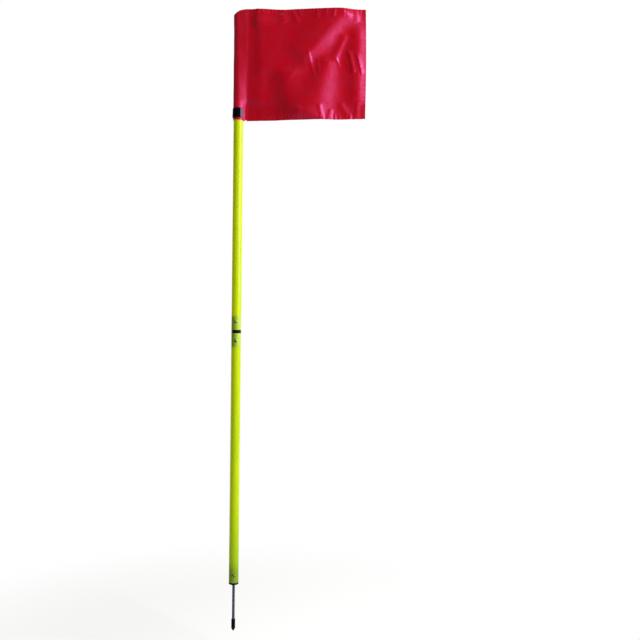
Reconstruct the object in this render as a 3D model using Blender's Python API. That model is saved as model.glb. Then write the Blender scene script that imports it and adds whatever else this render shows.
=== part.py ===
"""A slalom pole in two screwed sections, with a ground spike and a cloth flag.

Metres, +Z up the pole, the flag towards +X and the rivets towards -Y. The origin is on the
pole's axis at the flat underside of the foot plug, where the pole stands on the ground and
the spike goes into it.
"""

from math import acos, atan2, cos, hypot, pi, sin, sqrt, tan, tau

import bmesh
import bpy
import numpy as np
from mathutils import Matrix, Vector

# Clearances between neighbouring pieces
SEAT = 0.0003
FIT = 0.0003
THREAD_CLEARANCE = 0.0004

# Tubes
POLE_DIAMETER = 0.025
TUBE_WALL = 0.002
TUBE_CHAMFER = 0.0004
LOWER_TUBE_LENGTH = 0.6434
UPPER_TUBE_LENGTH = 0.8098

# Plugs that close and join the tubes
COLLAR_HEIGHT = 0.004
COLLAR_EDGE = 0.0004
PLUG_LENGTH = 0.036
PLUG_CHAMFER = 0.0008
PLUG_WALL = 0.0036
SPIGOT_FLOOR_THICKNESS = 0.010

# Screw joint: one right-hand start of rounded thread
THREAD_PITCH = 0.004
THREAD_ROOT_RADIUS = 0.0062
THREAD_DEPTH = 0.00135
THREAD_LENGTH = 0.0107
THREAD_FADE = 0.002
NECK_LENGTH = 0.0025
PILOT_LENGTH = 0.0048
PILOT_RADIUS = 0.006
PILOT_EDGE = 0.001
SOCKET_MOUTH_CHAMFER = 0.0006
SOCKET_THREAD_SPARE = 0.0014

# Top cap
CAP_RIM_HEIGHT = 0.003
CAP_DOME_HEIGHT = 0.006
CAP_SKIRT_LENGTH = 0.018
CAP_WALL = 0.002

# Foot plug and ground spike
FOOT_RIM_HEIGHT = 0.005
FOOT_RIM_EDGE = 0.0018
FOOT_PLUG_LENGTH = 0.041
SPIKE_DIAMETER = 0.007
SPIKE_EXPOSED = 0.1178
SPIKE_POINT_LENGTH = 0.0087
SPIKE_EMBEDDED = 0.039
SPIKE_GROOVE_HEIGHT = 0.012
SPIKE_GROOVE_WIDTH = 0.005
SPIKE_GROOVE_DEPTH = 0.0006
SPIKE_EDGE = 0.0005

# Tip protector
PROTECTOR_WALL = 0.00135
PROTECTOR_LENGTH = 0.031
PROTECTOR_TIP_WALL = 0.0036
PROTECTOR_TAPER = 0.0078
PROTECTOR_SHOULDER = 0.0014
PROTECTOR_RIM_EDGE = 0.0012
PROTECTOR_TIP_RADIUS = 0.0008
PROTECTOR_TIP_CROWN = 0.0003

# Blind rivets
RIVET_HEAD_RADIUS = 0.004
RIVET_HEAD_HEIGHT = 0.0014
RIVET_SHANK_RADIUS = 0.002
RIVET_BORE_RADIUS = 0.0011
RIVET_BULB_RADIUS = 0.0028
RIVET_BULB_LENGTH = 0.0016
RIVET_PIN_RECESS = 0.0004
RIVET_PIN_HEAD_RADIUS = 0.0017
RIVET_PIN_HEAD_LENGTH = 0.0012
RIVET_BULB_EDGE = 0.0004
SPIGOT_RIVET_ABOVE_COLLAR = 0.0218
SOCKET_RIVET_BELOW_SPIGOT = 0.0029
FOOT_RIVET_ABOVE_RIM = 0.0194
FOOT_RIVET_HOLE_WALL = 0.0010

# Flag cloth, seen flat
FLAG_HEIGHT = 0.2845
PANEL_WIDTH = 0.3054
CLOTH_THICKNESS = 0.0008
SEAM_BEYOND_POLE = 0.0088
SEAM_HALF_THICKNESS = 0.0006
SLEEVE_SETBACK = 0.0025
SLEEVE_LOOSE_GAP = 0.0006
SLEEVE_SHOULDER_RUN = 0.0237
SLEEVE_SHOULDER_DROP = 0.0105
SLEEVE_TOP_ROUNDING = 0.0012
SLEEVE_TOP_HEM = 0.0048
SLEEVE_EASE_LENGTH = 0.018
PINCHED_SEAM_BEYOND_SLEEVE = 0.0028
POCKET_SEAM_MARGIN = 0.0006
POCKET_CORNER = 0.0010
POCKET_CORNER_HALF = 0.00015
HEM_WIDTH = 0.010
HEM_HALF_THICKNESS = 0.0008
FLY_SWING = 0.018
FLY_SWING_POWER = 1.3
FLY_BOTTOM_LIFT = 0.005

# Clip that clamps the sleeve to the pole
CLIP_HEIGHT = 0.025
CLIP_ABOVE_FLAG_BOTTOM = 0.0070
CLIP_TOP_WALL = 0.0014
CLIP_BOTTOM_WALL = 0.0020
CLIP_MOUTH_MARGIN = 0.03
CLIP_LIP_FLARE = 0.0007
CLIP_LIP_SPAN = 0.16
CLIP_EDGE = 0.0005

# Resolution
TUBE_SIDES = 40
PLUG_SIDES = 24
SPIKE_SIDES = 16
RIVET_SIDES = 12
THREAD_ROWS_PER_PITCH = 8
FILLET_STEPS = 3
DOME_STEPS = 5
SLEEVE_ARC_POINTS = 13
SLEEVE_EASE_LEVELS = 5
CLIP_STATIONS = 26
PANEL_COLUMNS = 27
PANEL_ROWS = 22
SHARP_ANGLE = 0.6
CEILING_SAMPLES = 101

# How far the middle of a quarter round lies inside its corner, as a share of its radius
QUARTER_ROUND_INSET = 1 - sqrt(0.5)

# Sizes that follow from the ones above
POLE_RADIUS = POLE_DIAMETER / 2
BORE_RADIUS = POLE_RADIUS - TUBE_WALL
PLUG_RADIUS = BORE_RADIUS - FIT
LOWER_TUBE_BASE = FOOT_RIM_HEIGHT + SEAT
JOINT_HEIGHT = LOWER_TUBE_BASE + LOWER_TUBE_LENGTH + SEAT + COLLAR_HEIGHT
UPPER_SECTION_BASE = JOINT_HEIGHT + SEAT
UPPER_TUBE_BASE = COLLAR_HEIGHT + SEAT
CAP_BASE = UPPER_TUBE_BASE + UPPER_TUBE_LENGTH + SEAT
SPIGOT_LENGTH = NECK_LENGTH + THREAD_LENGTH + PILOT_LENGTH
SOCKET_BORE_RADIUS = THREAD_ROOT_RADIUS + THREAD_CLEARANCE
CORE_RADIUS = PLUG_RADIUS - PLUG_WALL
SPIKE_RADIUS = SPIKE_DIAMETER / 2
SPIKE_BORE_RADIUS = SPIKE_RADIUS + FIT
SPIGOT_RIVET_HEIGHT = COLLAR_HEIGHT + SPIGOT_RIVET_ABOVE_COLLAR
SOCKET_RIVET_DEPTH = SPIGOT_LENGTH + SOCKET_RIVET_BELOW_SPIGOT + RIVET_BULB_RADIUS
FOOT_RIVET_HEIGHT = FOOT_RIM_HEIGHT + FOOT_RIVET_ABOVE_RIM
FOOT_RIVET_HOLE_FLOOR = SPIKE_BORE_RADIUS + FOOT_RIVET_HOLE_WALL
FOOT_RIVET_TAIL = FOOT_RIVET_HOLE_FLOOR + RIVET_PIN_HEAD_LENGTH + 2 * SEAT
PINCHED_SLEEVE_RADIUS = POLE_RADIUS + FIT + CLOTH_THICKNESS
LOOSE_SLEEVE_RADIUS = PINCHED_SLEEVE_RADIUS + SLEEVE_LOOSE_GAP
SEAM_DISTANCE = POLE_RADIUS + SEAM_BEYOND_POLE
PINCHED_SEAM_DISTANCE = PINCHED_SLEEVE_RADIUS + PINCHED_SEAM_BEYOND_SLEEVE
CLIP_BORE_RADIUS = PINCHED_SLEEVE_RADIUS + FIT
CLIP_TOP = CLIP_ABOVE_FLAG_BOTTOM + CLIP_HEIGHT

# Main folds of the hanging cloth: a ridge along a line from one place to another, both as
# shares of the panel's width and height, its half width and how far it stands out
FOLDS = (
    ((0.50, 0.64), (0.88, 1.00), 0.033, 0.012),
    ((0.61, 0.04), (0.73, 0.51), 0.024, 0.008),
    ((0.33, 0.06), (0.29, 0.46), 0.030, 0.005),
    ((0.145, 0.52), (0.15, 0.87), 0.032, 0.004),
    ((0.925, 0.05), (0.93, 0.82), 0.019, 0.007),
)
FOLD_END_SOFTNESS = 0.16
FOLD_ROOT_SHARE = 0.16
FOLD_TOP_CALM = 0.55


def clear_scene():
    """Remove whatever the opened file holds."""
    for item in list(bpy.data.objects):
        bpy.data.objects.remove(item, do_unlink=True)


def finish(name, color, roughness, metallic=0.0):
    """A plain material with one colour, roughness and metallic value."""
    material = bpy.data.materials.new(name)
    material.use_nodes = True
    shader = material.node_tree.nodes["Principled BSDF"]
    shader.inputs["Base Color"].default_value = (*color, 1.0)
    shader.inputs["Roughness"].default_value = roughness
    shader.inputs["Metallic"].default_value = metallic
    material.diffuse_color = (*color, 1.0)
    return material


def axis_empty(name, height, parent=None):
    """An empty on the pole's axis, which the pieces of one moving group hang from."""
    empty = bpy.data.objects.new(name, None)
    empty.location = (0.0, 0.0, height)
    empty.parent = parent
    bpy.context.scene.collection.objects.link(empty)
    return empty


def solid(name, mesh, material, parent, place=(0.0, 0.0, 0.0), turn=(0.0, 0.0, 0.0)):
    """Turn a finished bmesh into one named, smoothly shaded object."""
    bmesh.ops.recalc_face_normals(mesh, faces=mesh.faces)
    data = bpy.data.meshes.new(name)
    mesh.to_mesh(data)
    mesh.free()
    data.materials.append(material)
    data.shade_smooth()
    data.set_sharp_from_angle(angle=SHARP_ANGLE)
    piece = bpy.data.objects.new(name, data)
    piece.location = place
    piece.rotation_euler = turn
    piece.parent = parent
    bpy.context.scene.collection.objects.link(piece)
    return piece


def fillet_corner(before, corner, after, radius):
    """The points of an arc that rounds one corner of an outline."""
    here = Vector(corner)
    back = (Vector(before) - here).normalized()
    ahead = (Vector(after) - here).normalized()
    half_angle = back.angle(ahead) / 2
    reach = radius / tan(half_angle)
    centre = here + (back + ahead).normalized() * radius / sin(half_angle)
    start = (here + back * reach - centre).normalized()
    end = (here + ahead * reach - centre).normalized()
    points = []
    for step in range(FILLET_STEPS + 1):
        spoke = start.slerp(end, step / FILLET_STEPS).normalized() * radius
        points.append(tuple(centre + spoke))
    return points


def rounded_outline(corners):
    """Corners as (radius, height), or (radius, height, fillet radius) where they are rounded."""
    points = []
    count = len(corners)
    for index, corner in enumerate(corners):
        if len(corner) == 2:
            points.append(corner)
            continue
        before = corners[index - 1][:2]
        after = corners[(index + 1) % count][:2]
        points += fillet_corner(before, corner[:2], after, corner[2])
    return points


def turned(name, corners, sides, material, parent, **placing):
    """Spin an outline round the Z axis; an outline that leaves the axis free is a ring."""
    outline = rounded_outline(corners)
    mesh = bmesh.new()
    verts = [mesh.verts.new((radius, 0.0, height)) for radius, height in outline]
    edges = [mesh.edges.new(pair) for pair in zip(verts, verts[1:])]
    if outline[0][0] > 0:
        edges.append(mesh.edges.new((verts[-1], verts[0])))
    bmesh.ops.spin(
        mesh, geom=verts + edges, cent=(0, 0, 0), axis=(0, 0, 1), angle=tau, steps=sides, use_merge=True
    )
    bmesh.ops.remove_doubles(mesh, verts=mesh.verts, dist=1e-7)
    return solid(name, mesh, material, parent, **placing)


def loft(name, loops, capped, material, parent):
    """Skin a row of equal loops. Their points come in mirrored pairs, first with last, and a
    cap is ruled across those pairs. Without caps the last loop is joined to the first."""
    mesh = bmesh.new()
    rings = [[mesh.verts.new(point) for point in loop] for loop in loops]
    count = len(rings[0])
    neighbours = list(zip(rings, rings[1:]))
    if not capped:
        neighbours.append((rings[-1], rings[0]))
    for one, other in neighbours:
        for i in range(count):
            j = (i + 1) % count
            mesh.faces.new((one[i], one[j], other[j], other[i]))
    if capped:
        for ring in (rings[0], rings[-1]):
            for i in range(count // 2 - 1):
                mesh.faces.new((ring[i], ring[i + 1], ring[-2 - i], ring[-1 - i]))
    return solid(name, mesh, material, parent)


def round_loop(radius, height):
    """One loop round the axis; the radius is one number or one for each column."""
    angles = (np.arange(PLUG_SIDES) + 0.5) * tau / PLUG_SIDES
    radii = np.broadcast_to(radius, angles.shape)
    return np.column_stack((radii * np.cos(angles), radii * np.sin(angles), np.full(PLUG_SIDES, height)))


def smooth_step(value):
    """0 below 0, 1 above 1, and an S-shaped rise between."""
    held = np.clip(value, 0.0, 1.0)
    return held * held * (3.0 - 2.0 * held)


def thread_swell(height):
    """How far the thread stands out at each column at one height: a raised cosine of the
    helix phase, height over pitch less the share of a turn, so that the helix is right-handed."""
    angles = (np.arange(PLUG_SIDES) + 0.5) * tau / PLUG_SIDES
    phase = tau * height / THREAD_PITCH - angles
    return THREAD_DEPTH * (0.5 + 0.5 * np.cos(phase))


def thread_heights(top, length):
    """Heights of the rows of a threaded stretch, from its top down."""
    rows = round(THREAD_ROWS_PER_PITCH * length / THREAD_PITCH)
    return np.linspace(top, top - length, rows + 1)


def spigot_plug(material, parent):
    """The male plug: core, body in the upper tube, collar, neck, thread and plain pilot."""
    body_top = COLLAR_HEIGHT + PLUG_LENGTH
    loops = [
        round_loop(CORE_RADIUS, SPIGOT_FLOOR_THICKNESS),
        round_loop(CORE_RADIUS, body_top),
        round_loop(PLUG_RADIUS - PLUG_CHAMFER, body_top),
        round_loop(PLUG_RADIUS, body_top - PLUG_CHAMFER),
        round_loop(PLUG_RADIUS, COLLAR_HEIGHT),
        round_loop(POLE_RADIUS - COLLAR_EDGE, COLLAR_HEIGHT),
        round_loop(POLE_RADIUS, COLLAR_HEIGHT - COLLAR_EDGE),
        round_loop(POLE_RADIUS, COLLAR_EDGE),
        round_loop(POLE_RADIUS - COLLAR_EDGE, 0.0),
        round_loop(THREAD_ROOT_RADIUS, 0.0),
    ]
    top, bottom = -NECK_LENGTH, -NECK_LENGTH - THREAD_LENGTH
    inset = PILOT_EDGE * QUARTER_ROUND_INSET
    for height in thread_heights(top, THREAD_LENGTH):
        fade = smooth_step((top - height) / THREAD_FADE) * smooth_step((height - bottom) / THREAD_FADE)
        loops.append(round_loop(THREAD_ROOT_RADIUS + fade * thread_swell(height), height))
    loops += [
        round_loop(PILOT_RADIUS, bottom - (THREAD_ROOT_RADIUS - PILOT_RADIUS)),
        round_loop(PILOT_RADIUS, PILOT_EDGE - SPIGOT_LENGTH),
        round_loop(PILOT_RADIUS - inset, inset - SPIGOT_LENGTH),
        round_loop(PILOT_RADIUS - PILOT_EDGE, -SPIGOT_LENGTH),
    ]
    return loft("spigot_plug", loops, True, material, parent)


def socket_plug(material, parent):
    """The female plug: threaded bore, core open below, body in the lower tube and collar."""
    thread_end = -NECK_LENGTH - THREAD_LENGTH - SOCKET_THREAD_SPARE
    loops = [round_loop(SOCKET_BORE_RADIUS + THREAD_DEPTH + SOCKET_MOUTH_CHAMFER, 0.0)]
    for height in thread_heights(-SOCKET_MOUTH_CHAMFER, THREAD_FADE - thread_end):
        fade = smooth_step((height - thread_end + THREAD_FADE) / THREAD_FADE)
        loops.append(round_loop(SOCKET_BORE_RADIUS + fade * thread_swell(height - SEAT), height))
    plug_end = -COLLAR_HEIGHT - PLUG_LENGTH
    loops += [
        round_loop(SOCKET_BORE_RADIUS, plug_end),
        round_loop(PLUG_RADIUS - PLUG_CHAMFER, plug_end),
        round_loop(PLUG_RADIUS, plug_end + PLUG_CHAMFER),
        round_loop(PLUG_RADIUS, -COLLAR_HEIGHT),
        round_loop(POLE_RADIUS - COLLAR_EDGE, -COLLAR_HEIGHT),
        round_loop(POLE_RADIUS, -COLLAR_HEIGHT + COLLAR_EDGE),
        round_loop(POLE_RADIUS, -COLLAR_EDGE),
        round_loop(POLE_RADIUS - COLLAR_EDGE, 0.0),
    ]
    return loft("socket_plug", loops, False, material, parent)


def tube(name, base, length, material, parent):
    """A plain tube with its four end edges chamfered."""
    edge = TUBE_CHAMFER
    top = base + length
    corners = [
        (BORE_RADIUS, base + edge),
        (BORE_RADIUS + edge, base),
        (POLE_RADIUS - edge, base),
        (POLE_RADIUS, base + edge),
        (POLE_RADIUS, top - edge),
        (POLE_RADIUS - edge, top),
        (BORE_RADIUS + edge, top),
        (BORE_RADIUS, top - edge),
    ]
    return turned(name, corners, TUBE_SIDES, material, parent)


def dome_height(radius):
    """Height of the cap's elliptical dome above its rim, at a distance from the axis."""
    return CAP_DOME_HEIGHT * np.sqrt(np.clip(1.0 - (radius / POLE_RADIUS) ** 2, 0.0, 1.0))


def top_cap(material, parent):
    """A domed cap with a hollow skirt that goes into the upper tube."""
    skirt_end = CAP_BASE - CAP_SKIRT_LENGTH
    rim_top = CAP_BASE + CAP_RIM_HEIGHT
    bore = PLUG_RADIUS - CAP_WALL
    corners = [
        (0.0, CAP_BASE),
        (bore, CAP_BASE),
        (bore, skirt_end),
        (PLUG_RADIUS - PLUG_CHAMFER, skirt_end),
        (PLUG_RADIUS, skirt_end + PLUG_CHAMFER),
        (PLUG_RADIUS, CAP_BASE),
        (POLE_RADIUS - COLLAR_EDGE, CAP_BASE),
        (POLE_RADIUS, CAP_BASE + COLLAR_EDGE),
    ]
    for angle in np.linspace(0.0, pi / 2, DOME_STEPS + 1)[:-1]:
        radius = POLE_RADIUS * cos(angle)
        corners.append((radius, rim_top + float(dome_height(radius))))
    corners.append((0.0, rim_top + CAP_DOME_HEIGHT))
    return turned("top_cap", corners, PLUG_SIDES, material, parent)


def spike_groove(clearance):
    """The groove that keys the spike in its plug, at a distance outside the spike."""
    radius = SPIKE_RADIUS + clearance
    floor = radius - SPIKE_GROOVE_DEPTH
    low = SPIKE_GROOVE_HEIGHT
    high = SPIKE_GROOVE_HEIGHT + SPIKE_GROOVE_WIDTH
    slope = SPIKE_GROOVE_DEPTH
    return [(radius, low), (floor, low + slope), (floor, high - slope), (radius, high)]


def ground_spike(material, parent):
    """A round steel rod with a conical point, grooved where the foot plug is moulded round it."""
    corners = [
        (0.0, -SPIKE_EXPOSED),
        (SPIKE_RADIUS, -SPIKE_EXPOSED + SPIKE_POINT_LENGTH),
        *spike_groove(0.0),
        (SPIKE_RADIUS, SPIKE_EMBEDDED - SPIKE_EDGE),
        (SPIKE_RADIUS - SPIKE_EDGE, SPIKE_EMBEDDED),
        (0.0, SPIKE_EMBEDDED),
    ]
    return turned("ground_spike", corners, SPIKE_SIDES, material, parent)


def foot_plug(material, parent):
    """The bottom plug: a round-edged rim under the tube, and a body that holds the spike."""
    corners = [
        (0.0, SPIKE_EMBEDDED + SEAT),
        (SPIKE_BORE_RADIUS, SPIKE_EMBEDDED + SEAT),
        *reversed(spike_groove(FIT)),
        (SPIKE_BORE_RADIUS, 0.0),
        (POLE_RADIUS, 0.0, FOOT_RIM_EDGE),
        (POLE_RADIUS, FOOT_RIM_HEIGHT - COLLAR_EDGE),
        (POLE_RADIUS - COLLAR_EDGE, FOOT_RIM_HEIGHT),
        (PLUG_RADIUS, FOOT_RIM_HEIGHT),
        (PLUG_RADIUS, FOOT_RIM_HEIGHT + FOOT_PLUG_LENGTH - PLUG_CHAMFER),
        (PLUG_RADIUS - PLUG_CHAMFER, FOOT_RIM_HEIGHT + FOOT_PLUG_LENGTH),
        (0.0, FOOT_RIM_HEIGHT + FOOT_PLUG_LENGTH),
    ]
    return turned("foot_plug", corners, PLUG_SIDES, material, parent)


def tip_protector(material, parent):
    """A pointed cap pushed over the spike's end, with its own origin at the spike's tip."""
    outer = SPIKE_BORE_RADIUS + PROTECTOR_WALL
    bottom = -PROTECTOR_TIP_WALL
    top = bottom + PROTECTOR_LENGTH
    corners = [
        (0.0, bottom),
        (PROTECTOR_TIP_RADIUS, bottom + PROTECTOR_TIP_CROWN),
        (outer, bottom + PROTECTOR_TAPER, PROTECTOR_SHOULDER),
        (outer, top, PROTECTOR_RIM_EDGE),
        (SPIKE_BORE_RADIUS, top),
        (SPIKE_BORE_RADIUS, SPIKE_POINT_LENGTH - SEAT),
        (0.0, -FIT * SPIKE_POINT_LENGTH / SPIKE_RADIUS),
    ]
    return turned(
        "tip_protector", corners, PLUG_SIDES, material, parent, place=(0.0, 0.0, -SPIKE_EXPOSED)
    )


def rivet(name, height, tail, bulb, material, parent):
    """A hollow rivet along -Y: domed head on the tube, shank through its hole down to its tail,
    and, unless the hole is blind, the bulb that is set behind the plug's wall."""
    head_base = POLE_RADIUS + SEAT
    corners = [(RIVET_BORE_RADIUS, tail)]
    if bulb:
        corners += [
            (RIVET_BULB_RADIUS - RIVET_BULB_EDGE, tail),
            (RIVET_BULB_RADIUS, tail + RIVET_BULB_LENGTH / 2),
            (RIVET_BULB_RADIUS - RIVET_BULB_EDGE, tail + RIVET_BULB_LENGTH),
            (RIVET_SHANK_RADIUS, tail + RIVET_BULB_LENGTH),
        ]
    else:
        corners.append((RIVET_SHANK_RADIUS, tail))
    corners.append((RIVET_SHANK_RADIUS, head_base))
    for angle in np.linspace(0.0, acos(RIVET_BORE_RADIUS / RIVET_HEAD_RADIUS), DOME_STEPS + 1):
        corners.append((RIVET_HEAD_RADIUS * cos(angle), head_base + RIVET_HEAD_HEIGHT * sin(angle)))
    return turned(
        name, corners, RIVET_SIDES, material, parent, place=(0.0, 0.0, height), turn=(pi / 2, 0.0, 0.0)
    )


def rivet_pin(name, height, tail, material, parent):
    """The pin left in a rivet: a stem in its bore and a head that fills its tail."""
    stem = RIVET_BORE_RADIUS - FIT
    shoulder = tail - SEAT
    stem_end = POLE_RADIUS + SEAT + RIVET_HEAD_HEIGHT - RIVET_PIN_RECESS
    corners = [
        (0.0, shoulder - RIVET_PIN_HEAD_LENGTH),
        (RIVET_PIN_HEAD_RADIUS - RIVET_BULB_EDGE, shoulder - RIVET_PIN_HEAD_LENGTH),
        (RIVET_PIN_HEAD_RADIUS, shoulder - RIVET_PIN_HEAD_LENGTH / 2),
        (RIVET_PIN_HEAD_RADIUS - RIVET_BULB_EDGE, shoulder),
        (stem, shoulder),
        (stem, stem_end),
        (0.0, stem_end),
    ]
    return turned(
        name, corners, RIVET_SIDES, material, parent, place=(0.0, 0.0, height), turn=(pi / 2, 0.0, 0.0)
    )


def drill(pieces, name, height, floor, parent):
    """Cut a rivet hole into pieces from the -Y side, down to a distance from the axis."""
    start = POLE_RADIUS + RIVET_HEAD_HEIGHT
    length = start - floor
    mesh = bmesh.new()
    bmesh.ops.create_cone(
        mesh,
        cap_ends=True,
        segments=RIVET_SIDES,
        radius1=RIVET_SHANK_RADIUS + FIT,
        radius2=RIVET_SHANK_RADIUS + FIT,
        depth=length,
        matrix=Matrix.Translation((0.0, 0.0, floor + length / 2)),
    )
    cutter = solid(
        name, mesh, pieces[0].data.materials[0], parent, place=(0.0, 0.0, height), turn=(pi / 2, 0.0, 0.0)
    )
    cutter.hide_render = True
    cutter.display_type = "WIRE"
    for piece in pieces:
        cut = piece.modifiers.new(name, "BOOLEAN")
        cut.operation = "DIFFERENCE"
        cut.solver = "EXACT"
        cut.object = cutter


def bulb_tail(core_radius):
    """How far from the pole's axis a rivet ends, with its bulb seated in a plug's round core."""
    return sqrt(core_radius**2 - RIVET_BULB_RADIUS**2) - SEAT - RIVET_BULB_LENGTH


def shoulder_drop(x):
    """How far the sleeve's closed top lies below the flag's top edge, on the pole's far side."""
    inward = (x + LOOSE_SLEEVE_RADIUS) / SLEEVE_SHOULDER_RUN
    return SLEEVE_SHOULDER_DROP * np.clip(1.0 - inward, 0.0, None) ** 2


def flag_base_height():
    """Height of the flag's bottom edge over the joint, with the sleeve seated on the cap."""
    x = np.linspace(-POLE_RADIUS, POLE_RADIUS, CEILING_SAMPLES)
    ceiling = np.max(dome_height(x) + shoulder_drop(x)) + SEAT
    return CAP_BASE + CAP_RIM_HEIGHT + float(ceiling) + CLOTH_THICKNESS - FLAG_HEIGHT


def tangent_angle(radius, root, half_width):
    """Angle from +X at which a line from the seam's root touches the circle round the pole."""
    return atan2(half_width, root) + acos(radius / hypot(root, half_width))


def teardrop(radius, root, end, half_width):
    """One loop of the sleeve seen from above: a flat seam from its end to its root, a tangent
    from there to the circle round the pole, and the circle round the back."""
    tangent = tangent_angle(radius, root, half_width)
    angles = np.linspace(tangent, pi - 0.5 * (pi - tangent) / SLEEVE_ARC_POINTS, SLEEVE_ARC_POINTS)
    arc = radius * np.column_stack((np.cos(angles), np.sin(angles)))
    side = np.vstack(([end, half_width], [root, half_width], arc))
    return np.vstack((side, side[::-1] * (1.0, -1.0)))


def sleeve_loops(squeeze):
    """Outer and inner loops of the sleeve. The squeeze is 1 under the clip, where the cloth is
    drawn round the pole, and 0 where it hangs loose."""
    radius = LOOSE_SLEEVE_RADIUS + squeeze * (PINCHED_SLEEVE_RADIUS - LOOSE_SLEEVE_RADIUS)
    loose_root = SEAM_DISTANCE - POCKET_CORNER
    root = loose_root + squeeze * (PINCHED_SEAM_DISTANCE - loose_root)
    outer = teardrop(radius, root, SEAM_DISTANCE, SEAM_HALF_THICKNESS)
    pocket_end = root - POCKET_SEAM_MARGIN
    inner = teardrop(radius - CLOTH_THICKNESS, pocket_end - POCKET_CORNER, pocket_end, POCKET_CORNER_HALF)
    return outer, inner


def raised(loop, share, height):
    """Lift a flat loop to a share of the sleeve's height, which falls at its shoulder."""
    lift = SLEEVE_SETBACK + share * (height - shoulder_drop(loop[:, 0]))
    return np.column_stack((loop, lift))


def flag_sleeve(material, parent):
    """A cloth pocket round the pole, closed on top and sewn shut along the panel."""
    full = FLAG_HEIGHT - SLEEVE_SETBACK
    clip_top = CLIP_TOP - SLEEVE_SETBACK
    easing = clip_top + SLEEVE_EASE_LENGTH * np.linspace(0.0, 1.0, SLEEVE_EASE_LEVELS)
    middle = (easing[-1] + full) / 2
    levels = [0.0, *easing, middle, full - SLEEVE_TOP_HEM, full - SLEEVE_TOP_ROUNDING]
    outers, inners = [], []
    for level in levels:
        outer, inner = sleeve_loops(1.0 - smooth_step((level - clip_top) / SLEEVE_EASE_LENGTH))
        outers.append(raised(outer, level / full, full))
        inners.append(raised(inner, level / full, full - CLOTH_THICKNESS))
    outer, inner = sleeve_loops(0.0)
    narrowed = np.array((1.0, 1.0 - SLEEVE_TOP_ROUNDING / LOOSE_SLEEVE_RADIUS))
    outers.append(raised(outer * narrowed, 1.0, full))
    inners.append(raised(inner * narrowed, 1.0, full - CLOTH_THICKNESS))
    return loft("flag_sleeve", inners[::-1] + outers, True, material, parent)


def fold_depth(u, v):
    """How far the cloth stands towards -Y, from its main folds. Each is a bell-shaped ridge
    across a line, and fades past the line's two ends."""
    x, z = u * PANEL_WIDTH, v * FLAG_HEIGHT
    depth = np.zeros_like(x)
    for start, end, half_width, height in FOLDS:
        foot = np.array(start) * (PANEL_WIDTH, FLAG_HEIGHT)
        run = np.array(end) * (PANEL_WIDTH, FLAG_HEIGHT) - foot
        length = np.hypot(*run)
        along = ((x - foot[0]) * run[0] + (z - foot[1]) * run[1]) / length**2
        across = ((x - foot[0]) * run[1] - (z - foot[1]) * run[0]) / length
        past = np.clip(np.maximum(-along, along - 1.0), 0.0, None)
        depth += height * np.exp(-((across / half_width) ** 2) - (past / FOLD_END_SOFTNESS) ** 2)
    return depth * smooth_step(u / FOLD_ROOT_SHARE) * (1.0 - FOLD_TOP_CALM * v**4)


def hem_shares(count, width):
    """Shares of the cloth at which its grid lines lie, with one line at each hem's edge."""
    hem = HEM_WIDTH / width
    return np.concatenate(([0.0], np.linspace(hem, 1.0 - hem, count - 2), [1.0]))


def flag_panel(material, parent):
    """The hanging cloth: a grid with its main folds, thicker along its three turned hems."""
    across = hem_shares(PANEL_COLUMNS, PANEL_WIDTH)
    upward = hem_shares(PANEL_ROWS, FLAG_HEIGHT)
    u, v = np.meshgrid(across, upward, indexing="ij")
    x = SEAM_DISTANCE + SEAT + u * PANEL_WIDTH
    bottom = FLY_BOTTOM_LIFT * u**2
    z = bottom + v * (FLAG_HEIGHT - bottom)
    y = -FLY_SWING * u**FLY_SWING_POWER - fold_depth(u, v)
    half = np.full_like(u, CLOTH_THICKNESS / 2)
    half[-1, :] = HEM_HALF_THICKNESS
    half[:, 0] = HEM_HALF_THICKNESS
    half[:, -1] = HEM_HALF_THICKNESS
    half[0, :] = SEAM_HALF_THICKNESS
    mesh = bmesh.new()
    sheets = []
    for side in (-1.0, 1.0):
        points = np.stack((x, y + side * half, z), axis=-1)
        sheets.append([[mesh.verts.new(point) for point in row] for row in points])
    for sheet in sheets:
        for i in range(PANEL_COLUMNS - 1):
            for j in range(PANEL_ROWS - 1):
                mesh.faces.new((sheet[i][j], sheet[i + 1][j], sheet[i + 1][j + 1], sheet[i][j + 1]))
    borders = []
    for sheet in sheets:
        bottom_edge = [row[0] for row in sheet]
        top_edge = [row[-1] for row in sheet]
        borders.append(bottom_edge + sheet[-1][1:-1] + top_edge[::-1] + sheet[0][-2:0:-1])
    front, back = borders
    for i in range(len(front)):
        j = (i + 1) % len(front)
        mesh.faces.new((front[i], front[j], back[j], back[i]))
    return solid("flag_panel", mesh, material, parent)


def clip_section(past_mouth):
    """Cross-section of the clip at an angle past its mouth, as (radius, height) points. The
    wall is thicker at the bottom, and its lips stand out beside the mouth."""
    lip = CLIP_LIP_FLARE * (1.0 - float(smooth_step(past_mouth / CLIP_LIP_SPAN)))
    corners = [
        (CLIP_BORE_RADIUS + CLIP_BOTTOM_WALL + lip, CLIP_ABOVE_FLAG_BOTTOM, CLIP_EDGE),
        (CLIP_BORE_RADIUS + CLIP_TOP_WALL + lip, CLIP_TOP, CLIP_EDGE),
        (CLIP_BORE_RADIUS, CLIP_TOP, CLIP_EDGE),
        (CLIP_BORE_RADIUS, CLIP_ABOVE_FLAG_BOTTOM, CLIP_EDGE),
    ]
    return np.array(rounded_outline(corners))


def flag_clip(material, parent):
    """An open ring that snaps round the sleeve, with its mouth towards the flag."""
    seam = tangent_angle(PINCHED_SLEEVE_RADIUS, PINCHED_SEAM_DISTANCE, SEAM_HALF_THICKNESS)
    mouth = seam + CLIP_MOUTH_MARGIN
    loops = []
    for angle in np.linspace(mouth, tau - mouth, CLIP_STATIONS):
        radius, height = clip_section(min(angle, tau - angle) - mouth).T
        loops.append(np.column_stack((radius * cos(angle), radius * sin(angle), height)))
    return loft("flag_clip", loops, True, material, parent)


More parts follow.
